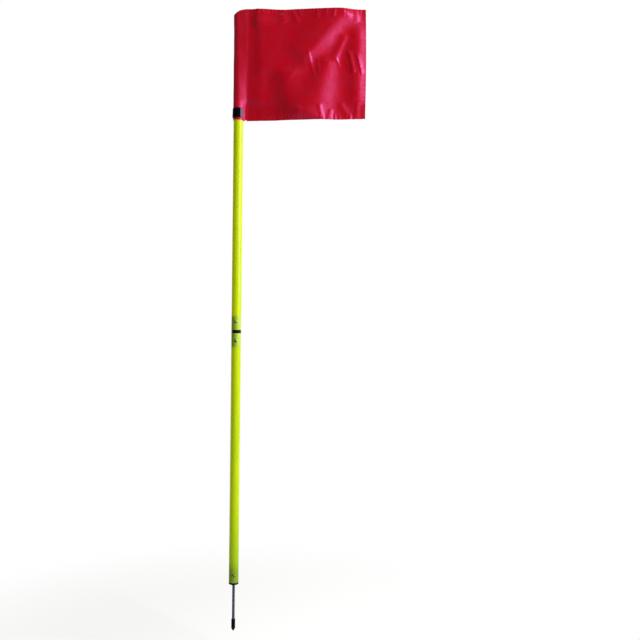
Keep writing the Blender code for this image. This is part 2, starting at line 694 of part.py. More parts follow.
def build():
    """Make every piece, hung from the empties of its moving group."""
    clear_scene()
    neon = finish("neon_plastic", (0.55, 0.86, 0.02), 0.32)
    black = finish("black_plastic", (0.03, 0.035, 0.05), 0.35)
    gloss = finish("gloss_black_plastic", (0.008, 0.008, 0.012), 0.15)
    rubber = finish("black_rubber", (0.02, 0.02, 0.022), 0.6)
    steel = finish("zinc_plated_steel", (0.62, 0.64, 0.68), 0.3, metallic=1.0)
    silver = finish("silver_rivet", (0.8, 0.8, 0.8), 0.25, metallic=1.0)
    cloth = finish("crimson_cloth", (0.52, 0.005, 0.03), 0.55)

    lower = axis_empty("lower_section", 0.0)
    upper = axis_empty("upper_section", UPPER_SECTION_BASE, lower)
    flag = axis_empty("flag_axis", flag_base_height(), upper)
    socket = axis_empty("socket_axis", JOINT_HEIGHT, lower)

    lower_tube = tube("lower_tube", LOWER_TUBE_BASE, LOWER_TUBE_LENGTH, neon, lower)
    upper_tube = tube("upper_tube", UPPER_TUBE_BASE, UPPER_TUBE_LENGTH, neon, upper)
    spigot = spigot_plug(black, upper)
    female = socket_plug(black, socket)
    foot = foot_plug(black, lower)
    top_cap(black, upper)
    ground_spike(steel, lower)
    tip_protector(rubber, lower)

    drill((upper_tube, spigot), "spigot_rivet_hole", SPIGOT_RIVET_HEIGHT, 0.0, upper)
    drill((lower_tube, female), "socket_rivet_hole", -SOCKET_RIVET_DEPTH, 0.0, socket)
    drill((lower_tube, foot), "foot_rivet_hole", FOOT_RIVET_HEIGHT, FOOT_RIVET_HOLE_FLOOR, lower)
    rivets = (
        ("spigot_rivet", SPIGOT_RIVET_HEIGHT, bulb_tail(CORE_RADIUS), True, upper),
        ("socket_rivet", -SOCKET_RIVET_DEPTH, bulb_tail(SOCKET_BORE_RADIUS), True, socket),
        ("foot_rivet", FOOT_RIVET_HEIGHT, FOOT_RIVET_TAIL, False, lower),
    )
    for name, height, tail, bulb, parent in rivets:
        rivet(name, height, tail, bulb, silver, parent)
        rivet_pin(f"{name}_pin", height, tail, silver, parent)

    flag_clip(gloss, flag)
    flag_sleeve(cloth, flag)
    flag_panel(cloth, flag)


build()
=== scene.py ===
"""The finished look of a slalom pole in two screwed sections, with a spike and a cloth flag.

Metres, +Z up the pole, the flag towards +X and the rivets towards -Y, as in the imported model.
"""

from math import acos, cos, hypot, pi, radians, sin, sqrt, tan, tau

import bmesh
import bpy
import numpy as np
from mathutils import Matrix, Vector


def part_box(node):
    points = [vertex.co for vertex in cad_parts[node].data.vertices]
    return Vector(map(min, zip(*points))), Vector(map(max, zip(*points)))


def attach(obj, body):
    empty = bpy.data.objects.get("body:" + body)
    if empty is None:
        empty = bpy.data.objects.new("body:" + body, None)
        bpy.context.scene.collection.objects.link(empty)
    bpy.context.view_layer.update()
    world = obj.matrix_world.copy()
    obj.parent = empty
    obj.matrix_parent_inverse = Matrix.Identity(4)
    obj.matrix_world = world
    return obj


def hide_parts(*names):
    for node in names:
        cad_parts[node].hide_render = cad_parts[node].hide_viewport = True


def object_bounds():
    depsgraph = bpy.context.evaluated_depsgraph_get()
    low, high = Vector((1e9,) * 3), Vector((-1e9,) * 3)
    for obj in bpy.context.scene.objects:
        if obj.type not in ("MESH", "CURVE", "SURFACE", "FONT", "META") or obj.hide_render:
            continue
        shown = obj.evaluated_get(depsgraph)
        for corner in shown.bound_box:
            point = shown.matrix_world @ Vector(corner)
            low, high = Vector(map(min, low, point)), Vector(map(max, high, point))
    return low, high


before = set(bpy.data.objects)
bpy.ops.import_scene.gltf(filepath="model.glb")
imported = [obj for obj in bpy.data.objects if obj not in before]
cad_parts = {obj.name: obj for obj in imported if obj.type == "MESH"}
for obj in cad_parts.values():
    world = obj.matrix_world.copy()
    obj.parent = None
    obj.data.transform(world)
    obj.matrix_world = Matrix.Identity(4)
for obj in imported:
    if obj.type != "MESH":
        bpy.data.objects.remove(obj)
cad_low, cad_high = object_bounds()


def low(node):
    """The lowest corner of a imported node."""
    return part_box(node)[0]


def high(node):
    """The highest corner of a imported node."""
    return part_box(node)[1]


# The photograph's view: a level camera a little over two metres in front of the pole
VIEW_DISTANCE = 2.13
VIEW_HEIGHT = 0.6853
VIEW_SIDE = 0.2165
VIEW_ROLL = radians(0.6)
LENS_MM = 46.28
SENSOR_MM = 36.0

# Studio: the floor, what gloss sees of the room, and the soft fill, dimmer from the front
WHITE = (1.0, 1.0, 1.0)
FLOOR_REACH = 9.0
FLOOR_COLOR = (0.873, 0.88, 0.905)
FLOOR_GLOW = 0.35
FLOOR_EDGE = (0.35, 1.1)
FLOOR_FRONT_END = 0.8
FLOOR_GLOSS_SPREAD = (0.4, 0.9)
FLOOR_GLOSS_NEAR = (0.10, 0.105, 0.135)
FLOOR_GLOSS_FAR = (0.03, 0.03, 0.033)
PROTECTOR_DROP = 0.05
ROOM = (0.020, 0.021, 0.025)
BACKDROP_EDGE = (0.45, 1.0)
CEILING = 0.35
CEILING_EDGE = (0.55, 0.95)
FILL_WARM = (0.54, 0.43, 0.12)
FILL_PLAIN = (0.43, 0.436, 0.455)
FILL_FRONT = (0.04, 0.04, 0.042)
FILL_SIDE_TURN = (-1.0, -0.2)
FILL_FRONT_TURN = (-0.9, -0.5)

# Pole
POLE_RADIUS = high("lower_tube").x
TUBE_WALL = 0.002
BORE_RADIUS = POLE_RADIUS - TUBE_WALL
TUBE_EDGE = 0.0004
TUBE_SIDES = 144
# Width of the painted glint at each cut end of a tube
END_GLINT_WIDTH = 0.0014
SHADE_PAST_END = 0.01
SHADES_BELOW_FOOT = -0.40
SLOW_PAINTED_SHADE_TOP = 0.11
SEAT = 0.0003
JOINT = high("socket_plug").z
UPPER_BASE = JOINT + SEAT
COLLAR_HEIGHT = 0.004
COLLAR_EDGE = 0.0006

# Plugs and their thread
PLUG_RADIUS = BORE_RADIUS - SEAT
PLUG_WALL = 0.0036
CORE_RADIUS = PLUG_RADIUS - PLUG_WALL
PLUG_CHAMFER = 0.0008
PLUG_SIDES = 96
THREAD_PITCH = 0.004
THREAD_ROOT = 0.0062
THREAD_DEPTH = 0.00135
THREAD_LENGTH = 0.0107
THREAD_FADE = 0.002
THREAD_CLEARANCE = 0.0004
THREAD_ROWS_PER_PITCH = 22
NECK_LENGTH = 0.0025
NECK_EASING = ((0.0005, 0.0), (0.0001, -0.0002), (0.0, -0.0006))
PILOT_RADIUS = 0.006
PILOT_STEP = 0.0003
PILOT_EDGE = 0.001
SPIGOT_FLOOR = 0.010
SOCKET_SPARE = 0.0014
SOCKET_MOUTH = 0.0006

# Cap, foot and spike
CAP_RIM = 0.003
CAP_SKIRT = 0.018
CAP_WALL = 0.002
FOOT_RIM = 0.005
FOOT_EDGE = 0.0018
SPIKE_RADIUS = high("ground_spike").x
SPIKE_SIDES = 72
SPIKE_POINT = 0.0087
SPIKE_TIP_RADIUS = 0.00025
SPIKE_TIP_CROWN = 0.0002
SPIKE_SHOULDER = 0.004
SPIKE_EDGE = 0.0005
SPIKE_BORE = SPIKE_RADIUS + SEAT
BORE_EDGE = 0.0003
GROOVE_LOW = 0.012
GROOVE_WIDTH = 0.005
GROOVE_DEPTH = 0.0006
PROTECTOR_TAPER = 0.0078
PROTECTOR_SHOULDER = 0.0014
PROTECTOR_RIM = 0.0012
PROTECTOR_TIP = 0.0008
PROTECTOR_CROWN = 0.0003
PROTECTOR_WAIST = 0.00018
PROTECTOR_WAIST_ROUNDING = 0.04

# Rivets
RIVET_SIDES = 48
RIVET_RADIUS = high("foot_rivet").x
RIVET_HEAD = 0.0014
RIVET_SHANK = 0.002
RIVET_BORE = 0.0011
RIVET_LIP = 0.0002
BULB_RADIUS = 0.0028
BULB_LENGTH = 0.0016
BULB_EDGE = 0.0004
PIN_RADIUS = 0.0008
PIN_HEAD_RADIUS = 0.0017
PIN_HEAD_LENGTH = 0.0012
PIN_EDGE = 0.0002
HOLE_RADIUS = RIVET_SHANK + SEAT
HOLE_MARGIN = 0.003
FOOT_HOLE_WALL = 0.001

# Clip
CLIP_LOW = low("flag_clip").z
CLIP_HIGH = high("flag_clip").z
CLIP_TOP_WALL = 0.0014
CLIP_BOTTOM_WALL = 0.0020
CLIP_FLARE = 0.0007
CLIP_FLARE_SPAN = 0.16
CLIP_EDGE = 0.0006
CLIP_STATIONS = 150
CLIP_END_ROUNDING = 0.0006

# Flag
CLOTH = 0.00045
WEAVE_PITCH = 0.0006
FLAG_BASE = low("flag_panel").z
FLAG_TOP = high("flag_panel").z
FLAG_HEIGHT = FLAG_TOP - FLAG_BASE
PANEL_START = low("flag_panel").x
PANEL_WIDTH = high("flag_panel").x - PANEL_START
PANEL_COLUMNS = 214
PANEL_ROWS = 196
FLY_SWING = 0.016
SWING_REACH = 0.72
FLY_LIFT = 0.005
FLY_LIFT_POWER = 3.2
FLY_TOP_PULL = 0.0008
FLY_BELLY = 0.0012
FLY_TOP_RISE = 0.0012
TOP_DIP = 0.0014
TOP_DIP_PLACE = 0.30
TOP_DIP_SPREAD = 0.10
SEAM_BLOUSE = 0.0065
SEAM_BLOUSE_RUN = 0.030
SEAM_FORWARD = 0.008
SEAM_FORWARD_RUN = 0.19
SLEEVE_HEM_DROP = 0.0015
SLEEVE_HEM_RISE_START = 0.012
SLEEVE_HEM_RISE = 0.013
HEM_WIDTH = 0.010
HEM_STITCH = 0.0082
HEM_COLUMNS = 9
HEM_OFFSET = 1.55 * CLOTH
HEM_HALF = 0.9 * CLOTH
RIPPLE_HEIGHT = 0.00042
RIPPLE_LENGTH = 0.0088
RIPPLE_REACH = 0.012
EDGE_SCALLOP = 0.00016
SCALLOP_SHIFT = 0.004
FLY_CORNER_RUN = 0.1
STITCH_LENGTH = 0.0025
STITCH_PITCH = 0.0031
STITCH_END_SHARE = 0.25
STITCH_RISE = 0.45
STITCH_DIP = 0.25
STITCH_RINGS = 6
STITCH_SIDES = 6
STITCH_ROW_INSET = 0.004
STITCH_ROW_POINTS = 400
THREAD_THICKNESS = 0.00034

# Sleeve
SLEEVE_BASE = low("flag_sleeve").z
SLEEVE_ROWS = 150
CLOSING_ROWS = 25
FLANGE_COLUMNS = 9
STRAIGHT_COLUMNS = 16
BEND_COLUMNS = 46
SEAM_COLUMNS = 12
LOOSE_EASE = 0.0011
PINCHED_EASE = 0.0008
LOOSE_RADIUS = POLE_RADIUS + LOOSE_EASE
PINCHED_RADIUS = POLE_RADIUS + SEAT + PINCHED_EASE
SEAM = high("flag_sleeve").x
SEAM_CORNER = 0.0010
PINCHED_ROOT = 0.0160
SLEEVE_FLANGE = 0.0246
SLEEVE_STITCH = 0.0230
SLEEVE_EASE = 0.018
SHOULDER_RUN = 0.0237
SHOULDER_DROP = 0.0105
CLOSING_HEIGHT = 0.013
CLOSING_POWER = 2.6
CLOSED_SHARE = 0.05
TOP_FULLNESS = 0.0009
FULLNESS_START = 0.8
FULLNESS_RUN = 0.12
SEAM_CALM = 0.004
GATHER_HEIGHT = 0.00045
GATHER_COUNT = 17
GATHER_SLANT = 40.0
GATHER_MIDDLE = 0.006
GATHER_REACH = 0.013
SLACK_HEIGHT = 0.00030
SLACK_COUNT = 3.0
SLACK_SLANT = 55.0
SLACK_BEAT = 31.0

# Ripples along each edge of the panel: how far the wave is shifted, its length and its height,
# both as shares of the ripples' own
EDGE_RIPPLES = {
    "top": (0.0, 1.0, 1.0),
    "bottom": (0.013, 1.13, 1.0),
    "fly": (0.0, 1.2, 0.4),
    "seam": (0.02, 1.6, 0.7),
}
SEAM_RIPPLE_START = 0.012

# Main folds of the cloth: the line of a crest from one place to another, both as shares of the
# panel's width and height, the half widths of its slopes to the line's left and right, how far it
# stands out, and how much its widths and its height grow along the line
MAIN_FOLDS = (
    ((0.500, 0.590), (0.800, 0.975), 0.050, 0.0215, 0.0084, 0.75),
    ((0.670, 0.500), (0.535, 0.060), 0.022, 0.0240, 0.0057, 1.3),
    ((0.930, 0.200), (0.930, 0.770), 0.024, 0.0190, 0.0052, 0.0),
    ((0.395, 0.040), (0.330, 0.400), 0.028, 0.0450, 0.0070, 0.0),
    ((0.140, 0.480), (0.130, 0.860), 0.024, 0.0900, 0.0042, 0.0),
)
FOLD_END_SOFTNESS = 0.16
FOLD_ROOT_SHARE = 0.10
CREASE_ROOT_SHARE = 0.05

# Small creases and pulls, in the same form
SMALL_CREASES = (
    ((0.520, 0.600), (0.560, 0.430), 0.0050, 0.0034, 0.0009, 0.0),
    ((0.590, 0.535), (0.603, 0.440), 0.0022, 0.0050, 0.0006, 0.0),
    ((0.860, 0.600), (0.892, 0.440), 0.0050, 0.0062, 0.0021, 0.0),
    ((0.925, 0.570), (0.960, 0.430), 0.0026, 0.0060, 0.0011, 0.0),
    ((0.835, 0.545), (0.848, 0.480), 0.0030, 0.0026, 0.0005, 0.0),
    ((0.815, 0.740), (0.740, 0.560), 0.0120, 0.0090, 0.0023, 0.0),
    ((0.752, 0.555), (0.775, 0.490), 0.0030, 0.0024, 0.0006, 0.0),
    ((0.412, 0.480), (0.360, 0.375), 0.0090, 0.0070, 0.0006, 0.0),
    ((0.112, 0.180), (0.115, 0.420), 0.0190, 0.0140, 0.0014, 0.0),
    ((0.085, 0.870), (0.095, 1.030), 0.0100, 0.0300, 0.0042, 0.0),
    ((0.290, 0.950), (0.315, 0.890), 0.0100, 0.0120, 0.0018, 0.0),
    ((0.385, 0.975), (0.425, 0.890), 0.0080, 0.0060, 0.0014, 0.0),
    ((0.430, 0.985), (0.452, 0.930), 0.0040, 0.0050, 0.0009, 0.0),
    ((0.585, 0.985), (0.590, 0.915), 0.0060, 0.0050, 0.0011, 0.0),
    ((0.658, 0.990), (0.662, 0.940), 0.0040, 0.0040, 0.0007, 0.0),
    ((0.735, 0.990), (0.725, 0.930), 0.0050, 0.0050, 0.0011, 0.0),
    ((0.915, 0.985), (0.925, 0.905), 0.0070, 0.0065, 0.0015, 0.0),
    ((0.120, 0.010), (0.128, 0.070), 0.0060, 0.0060, 0.0006, 0.0),
    ((0.285, 0.010), (0.280, 0.110), 0.0070, 0.0060, 0.0011, 0.0),
    ((0.435, 0.015), (0.432, 0.105), 0.0070, 0.0090, 0.0011, 0.0),
    ((0.640, 0.005), (0.615, 0.120), 0.0070, 0.0060, 0.0014, 0.0),
    ((0.690, 0.005), (0.710, 0.080), 0.0060, 0.0060, 0.0011, 0.0),
    ((0.870, 0.005), (0.800, 0.130), 0.0100, 0.0080, 0.0015, 0.0),
    ((0.925, 0.010), (0.930, 0.130), 0.0050, 0.0060, 0.0010, 0.0),
)


def smooth_step(value):
    """0 below 0, 1 above 1, and an S-shaped rise between: three squares less two cubes."""
    held = np.clip(value, 0.0, 1.0)
    return held * held * (3.0 - 2.0 * held)


def unit(vectors):
    """Each vector over its own length."""
    return vectors / np.maximum(np.linalg.norm(vectors, axis=-1, keepdims=True), 1e-12)


def rounded(corners, steps=6):
    """An outline as (radius, height) points. A corner with a third number is rounded to that
    radius: the arc's centre lies on the corner's bisector, its radius over the sine of half
    the corner's angle away, and the arc turns evenly from one side's foot to the other's."""
    places = [np.array(corner[:2]) for corner in corners]
    points = []
    for index, corner in enumerate(corners):
        here = places[index]
        if len(corner) == 2:
            points.append(here[None])
            continue
        back = unit(places[index - 1] - here)
        ahead = unit(places[(index + 1) % len(corners)] - here)
        half_angle = acos(np.clip(back @ ahead, -1.0, 1.0)) / 2
        centre = here + unit(back + ahead) * corner[2] / sin(half_angle)
        start = unit(here + back * corner[2] / tan(half_angle) - centre)
        end = unit(here + ahead * corner[2] / tan(half_angle) - centre)
        sweep = acos(np.clip(start @ end, -1.0, 1.0))
        share = np.linspace(0.0, 1.0, steps + 1)[:, None]
        spokes = (np.sin((1.0 - share) * sweep) * start + np.sin(share * sweep) * end) / sin(sweep)
        points.append(centre + spokes * corner[2])
    return np.vstack(points)


def grid_faces(rows, columns, round_rows=False, round_columns=False):
    """Four-sided faces between the neighbours of a grid that is numbered row by row."""
    index = np.arange(rows * columns).reshape(rows, columns)
    if round_columns:
        index = np.hstack((index, index[:, :1]))
    if round_rows:
        index = np.vstack((index, index[:1]))
    corners = (index[:-1, :-1], index[:-1, 1:], index[1:, 1:], index[1:, :-1])
    return np.stack(corners, axis=-1).reshape(-1, 4)


def piece(name, points, faces, material, body, stands_for=None, cloth_map=None, sharp=0.6):
    """One finished piece from arrays: seams and poles are welded, faces turned outwards, and
    the shading is smooth up to the sharp angle. A cloth map gives each point its flat place."""
    mesh = bpy.data.meshes.new(name)
    mesh.from_pydata(points.reshape(-1, 3).tolist(), [], [list(face) for face in faces])
    if cloth_map is not None:
        layer = mesh.uv_layers.new(name="cloth")
        corners = np.zeros(len(mesh.loops), np.int32)
        mesh.loops.foreach_get("vertex_index", corners)
        layer.data.foreach_set("uv", cloth_map.reshape(-1, 2)[corners].astype(np.float32).ravel())
    shell = bmesh.new()
    shell.from_mesh(mesh)
    bmesh.ops.remove_doubles(shell, verts=shell.verts, dist=1e-7)
    bmesh.ops.recalc_face_normals(shell, faces=shell.faces)
    shell.to_mesh(mesh)
    shell.free()
    mesh.shade_smooth()
    mesh.set_sharp_from_angle(angle=sharp)
    mesh.materials.append(material)
    made = bpy.data.objects.new(name, mesh)
    bpy.context.scene.collection.objects.link(made)
    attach(made, body)
    if stands_for:
        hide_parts(stands_for)
    return made


def turned(name, outline, sides, material, body, stands_for, height=None):
    """An outline of (radius, height) carried round the Z axis: each point is the radius times
    the cosine and sine of its angle. With a height given, the axis is the -Y line at that
    height and the outline's heights are distances from the pole's axis."""
    angles = np.arange(sides) * tau / sides
    radius, along = outline[:, 0, None], np.broadcast_to(outline[:, 1, None], (len(outline), sides))
    across, beside = radius * np.cos(angles), radius * np.sin(angles)
    if height is None:
        points = np.stack((across, beside, along), axis=-1)
    else:
        points = np.stack((across, -along, height + beside), axis=-1)
    hollow = outline[0, 0] > 0 and outline[-1, 0] > 0
    faces = grid_faces(len(outline), sides, round_rows=hollow, round_columns=True)
    return piece(name, points, faces, material, body, stands_for)


def drilled(made, heights, floor=0.0):
    """Cut round rivet holes into a piece from its -Y side, down to a distance from the axis."""
    reach = 2 * POLE_RADIUS - floor
    for height in heights:
        drill = bmesh.new()
        bmesh.ops.create_cone(
            drill, cap_ends=True, segments=RIVET_SIDES, radius1=HOLE_RADIUS, radius2=HOLE_RADIUS,
            depth=reach,
        )
        mesh = bpy.data.meshes.new("rivet_hole")
        drill.to_mesh(mesh)
        drill.free()
        cutter = bpy.data.objects.new("rivet_hole", mesh)
        cutter.rotation_euler = (pi / 2, 0.0, 0.0)
        cutter.location = (0.0, -floor - reach / 2, height)
        bpy.context.scene.collection.objects.link(cutter)
        cut = made.modifiers.new("rivet_hole", "BOOLEAN")
        cut.object = cutter
        cut.solver = "EXACT"
        graph = bpy.context.evaluated_depsgraph_get()
        finished = bpy.data.meshes.new_from_object(made.evaluated_get(graph))
        made.modifiers.clear()
        made.data = finished
        bpy.data.objects.remove(cutter)
    return made


def middle_height(node):
    """Height of a node's middle."""
    return (low(node).z + high(node).z) / 2


# Finishes


def blank(name, color, roughness, metallic=0.0, **sockets):
    """A material with one shader, whose plain values are set on the shader's own sockets."""
    material = bpy.data.materials.new(name)
    material.use_nodes = True
    shader = material.node_tree.nodes["Principled BSDF"]
    shader.inputs["Base Color"].default_value = (*color, 1.0)
    shader.inputs["Roughness"].default_value = roughness
    shader.inputs["Metallic"].default_value = metallic
    for socket, value in sockets.items():
        shader.inputs[socket.replace("_", " ")].default_value = value
    return material, material.node_tree, shader


def add(tree, kind, settings=None, **inputs):
    """Add a node; an input is a plain value or another node's output. Inputs named i0, i1 and
    so on are the node's sockets by number."""
    node = tree.nodes.new(kind)
    for key, value in (settings or {}).items():
        setattr(node, key, value)
    for key, value in inputs.items():
        numbered = key[0] == "i" and key[1:].isdigit()
        socket = node.inputs[int(key[1:]) if numbered else key]
        if isinstance(value, bpy.types.NodeSocket):
            tree.links.new(value, socket)
        else:
            socket.default_value = value
    return node


def stretched(tree, scale, place=None):
    """Object coordinates, or another place, scaled along each axis for a pattern."""
    place = place or add(tree, "ShaderNodeTexCoord").outputs["Object"]
    return add(tree, "ShaderNodeMapping", Vector=place, Scale=scale).outputs["Vector"]


def noise(tree, scale, place=None, detail=3.0, rough=0.5, distortion=0.0):
    """Soft random values; the scale is one for each axis, or one for all of them."""
    if isinstance(scale, tuple):
        place, scale = stretched(tree, scale, place), 1.0
    settings = {"Scale": scale, "Detail": detail, "Roughness": rough, "Distortion": distortion}
    return add(tree, "ShaderNodeTexNoise", Vector=place, **settings).outputs["Fac"]


def spread(tree, value, start, end, low_value=0.0, high_value=1.0):
    """A value's range from start to end, eased and carried to another range."""
    node = add(tree, "ShaderNodeMapRange", {"interpolation_type": "SMOOTHSTEP"}, Value=value)
    numbers = {"From Min": start, "From Max": end, "To Min": low_value, "To Max": high_value}
    for socket, number in numbers.items():
        node.inputs[socket].default_value = number
    return node.outputs["Result"]


def worked(tree, operation, first, second=0.0):
    """One sum of two values, or of the first alone where the sum takes one."""
    node = add(tree, "ShaderNodeMath", {"operation": operation}, i0=first, i1=second)
    return node.outputs["Value"]


def blended(tree, share, one, other):
    """From one colour to another by a share."""
    node = add(tree, "ShaderNodeMix", {"data_type": "RGBA"})
    for socket, value in ((node.inputs[0], share), (node.inputs[6], one), (node.inputs[7], other)):
        if isinstance(value, bpy.types.NodeSocket):
            tree.links.new(value, socket)
        else:
            socket.default_value = value if socket is node.inputs[0] else (*value, 1.0)
    return node.outputs[2]


def drive(shader, **values):
    """Let values drive the shader's sockets."""
    for socket, value in values.items():
        shader.id_data.links.new(value, shader.inputs[socket.replace("_", " ")])


def raise_surface(tree, shader, *layers):
    """Bump the surface by layers of (height, strength, depth in metres)."""
    normal = None
    for value, strength, depth in layers:
        bump = add(tree, "ShaderNodeBump", Height=value, Strength=strength, Distance=depth)
        if normal:
            tree.links.new(normal, bump.inputs["Normal"])
        normal = bump.outputs["Normal"]
    drive(shader, Normal=normal)


def neon_tube(name, neon, ends, shades):
    """Extruded neon plastic, a little see-through: greener and darker where a black plug lies
    behind it, painted shade that stands for the black seen through the wall, with long drawing
    lines, faint mottling, a few pale scuffs, and pale bands at its ends that are painted glints
    on the cut ends. A painted shade is its lowest and highest point, how softly it begins and
    ends, and its colour on the wall's -X side and on the +X side; the -X side is painted
    darker, as shade from the lamp on the +X side."""
    # Pale colour of the scuffs, and of the painted glints at the tube's cut ends
    scuff_and_glint_color = (0.80, 0.95, 0.30)
    deep_glow = {"Subsurface_Scale": 0.004, "Subsurface_Radius": (1.0, 1.0, 0.15)}
    material, tree, shader = blank(name, neon, 0.26, Specular_IOR_Level=0.36, **deep_glow)
    where = add(tree, "ShaderNodeTexCoord").outputs["Object"]
    place = add(tree, "ShaderNodeSeparateXYZ", Vector=where).outputs
    mottle = noise(tree, (60.0, 60.0, 14.0), detail=4.0)
    deeper = tuple(0.93 * part for part in neon)
    color = blended(tree, spread(tree, mottle, 0.3, 0.75), neon, deeper)
    # Painted shade: over a plug the wall is darker on its -X side, away from the lamp
    side = spread(tree, place["X"], -POLE_RADIUS, POLE_RADIUS)
    shaded = 0.0
    for start, end, softness, near, far in shades:
        rise = spread(tree, place["Z"], start - softness, start + softness)
        fall = spread(tree, place["Z"], end - softness, end + softness, 1.0, 0.0)
        share = worked(tree, "MULTIPLY", rise, fall)
        color = blended(tree, share, color, blended(tree, side, near, far))
        shaded = worked(tree, "MAXIMUM", shaded, share)
    drive(shader, Subsurface_Weight=spread(tree, shaded, 0.0, 1.0, 0.5, 0.0))
    scratches = noise(tree, (90.0, 90.0, 900.0), detail=5.0, rough=0.7)
    scuff_and_end_glint = spread(tree, scratches, 0.70, 0.78, 0.0, 0.5)
    rubs = noise(tree, (700.0, 700.0, 700.0), detail=3.0)
    # Painted glints: a pale, ragged band at each cut end of the tube
    for end in ends:
        off = worked(tree, "ABSOLUTE", worked(tree, "SUBTRACT", place["Z"], end))
        ragged = worked(tree, "ADD", off, spread(tree, rubs, 0.3, 0.7, 0.0, END_GLINT_WIDTH))
        pale = spread(tree, ragged, 0.3 * END_GLINT_WIDTH, END_GLINT_WIDTH, 0.6, 0.0)
        scuff_and_end_glint = worked(tree, "MAXIMUM", scuff_and_end_glint, pale)
    lines = noise(tree, (1400.0, 1400.0, 5.0), detail=2.0)
    drive(
        shader,
        Base_Color=blended(tree, scuff_and_end_glint, color, scuff_and_glint_color),
        Roughness=spread(tree, lines, 0.3, 0.7, 0.22, 0.31),
    )
    ripple = noise(tree, (35.0, 35.0, 22.0), detail=2.0)
    raise_surface(
        tree, shader, (lines, 0.25, 0.00006), (ripple, 0.25, 0.0006), (scuff_and_end_glint, 0.3, 0.00008)
    )
    return material


def moulded_black(name, color, roughness, gloss, grain):
    """Moulded black plastic: a fine grain, and a slow change of gloss."""
    material, tree, shader = blank(name, color, roughness, Specular_IOR_Level=gloss)
    pits = noise(tree, (2600.0, 2600.0, 2600.0), detail=2.0)
    patches = noise(tree, (160.0, 160.0, 160.0), detail=3.0)
    lighter = tuple(1.6 * part + 0.002 for part in color)
    drive(
        shader,
        Base_Color=blended(tree, spread(tree, patches, 0.35, 0.7), color, lighter),
        Roughness=spread(tree, patches, 0.3, 0.7, roughness - 0.05, roughness + 0.09),
    )
    raise_surface(tree, shader, (pits, grain, 0.00008))
    return material


def gloss_clip():
    """High-gloss black plastic with faint flow waves and hairline rub marks."""
    black, rubbed = (0.003, 0.003, 0.006), (0.012, 0.012, 0.018)
    material, tree, shader = blank(
        "gloss_clip", black, 0.2, Specular_IOR_Level=0.32, Specular_Tint=(0.9, 0.8, 1.0, 1.0),
    )
    rubs = spread(tree, noise(tree, (500.0, 500.0, 4000.0), detail=4.0, rough=0.7), 0.62, 0.74)
    flow = noise(tree, (120.0, 120.0, 70.0), detail=1.0)
    drive(
        shader,
        Base_Color=blended(tree, rubs, black, rubbed),
        Roughness=spread(tree, rubs, 0.0, 1.0, 0.18, 0.34),
    )
    raise_surface(tree, shader, (flow, 0.2, 0.0003), (rubs, 0.15, 0.00003))
    return material


def plated_steel(name, color, roughness, scale):
    """Drawn and zinc-plated steel: streaks along the drawing, cloudy plating and dull specks."""
    material, tree, shader = blank(name, color, roughness, metallic=1.0)
    streaks = noise(tree, scale, detail=4.0, rough=0.6)
    clouds = noise(tree, (260.0, 260.0, 90.0), detail=4.0)
    darker = tuple(0.62 * part for part in color)
    cloudy = spread(tree, clouds, 0.3, 0.7, 0.4, 1.0)
    shade = worked(tree, "MULTIPLY", spread(tree, streaks, 0.35, 0.75), cloudy)
    drive(
        shader,
        Base_Color=blended(tree, shade, color, darker),
        Roughness=spread(tree, clouds, 0.3, 0.7, roughness - 0.08, roughness + 0.14),
    )
    raise_surface(tree, shader, (streaks, 0.25, 0.00006))
    return material


def woven(tree):
    """A plain weave on the cloth's own map: bands both ways, multiplied into over and under. The
    bands of a wave texture repeat after tau over 20 times its scale."""
    flat = add(tree, "ShaderNodeUVMap", {"uv_map": "cloth"}).outputs["UV"]
    bands = []
    for direction in ("X", "Y"):
        settings = {"wave_type": "BANDS", "bands_direction": direction}
        wave = add(tree, "ShaderNodeTexWave", settings, Vector=flat, Scale=tau / (20.0 * WEAVE_PITCH))
        bands.append(wave.outputs["Fac"])
    return flat, worked(tree, "MULTIPLY", *bands)


def flag_nylon(name, roughness, index):
    """Thin crimson nylon: a fine plain weave, a satin gloss that turns pinker at a slant, slow
    colour changes, and the small crinkles of a flag that has been folded."""
    crimson, deep = (0.585, 0.0002, 0.003), (0.53, 0.0001, 0.0015)
    pink_gloss = {"Specular_IOR_Level": 1.0, "Specular_Tint": (1.0, 0.27, 0.86, 1.0)}
    material, tree, shader = blank(name, crimson, roughness, IOR=index, **pink_gloss)
    flat, weave = woven(tree)
    slow = noise(tree, 26.0, flat, detail=4.0, rough=0.55)
    slub = spread(tree, noise(tree, (40.0, 1500.0, 1.0), flat), 0.3, 0.7, 0.0, 0.3)
    shade = worked(tree, "ADD", spread(tree, slow, 0.3, 0.7, 0.0, 0.7), slub)
    drive(
        shader,
        Base_Color=blended(tree, shade, crimson, deep),
        Roughness=spread(tree, slow, 0.3, 0.7, roughness - 0.04, roughness + 0.04),
    )
    crinkle = noise(tree, 75.0, flat, detail=5.0, rough=0.55, distortion=0.8)
    raise_surface(tree, shader, (crinkle, 0.22, 0.0012), (slow, 0.2, 0.004), (weave, 0.25, 0.00010))
    return material


def sewing_thread():
    """Polyester thread, a little lighter than the cloth, with its twist as slanted bands."""
    material, tree, shader = blank("sewing_thread", (0.50, 0.012, 0.04), 0.5, Sheen_Weight=0.3)
    place = stretched(tree, (1.0, 1.0, 1.0))
    slanted = {"bands_direction": "DIAGONAL"}
    wave = add(tree, "ShaderNodeTexWave", slanted, Vector=place, Scale=900.0, Distortion=1.0)
    twist = wave.outputs["Fac"]
    drive(shader, Base_Color=blended(tree, twist, (0.36, 0.006, 0.025), (0.55, 0.02, 0.06)))
    raise_surface(tree, shader, (twist, 0.4, 0.00006))
    return material


# Pole


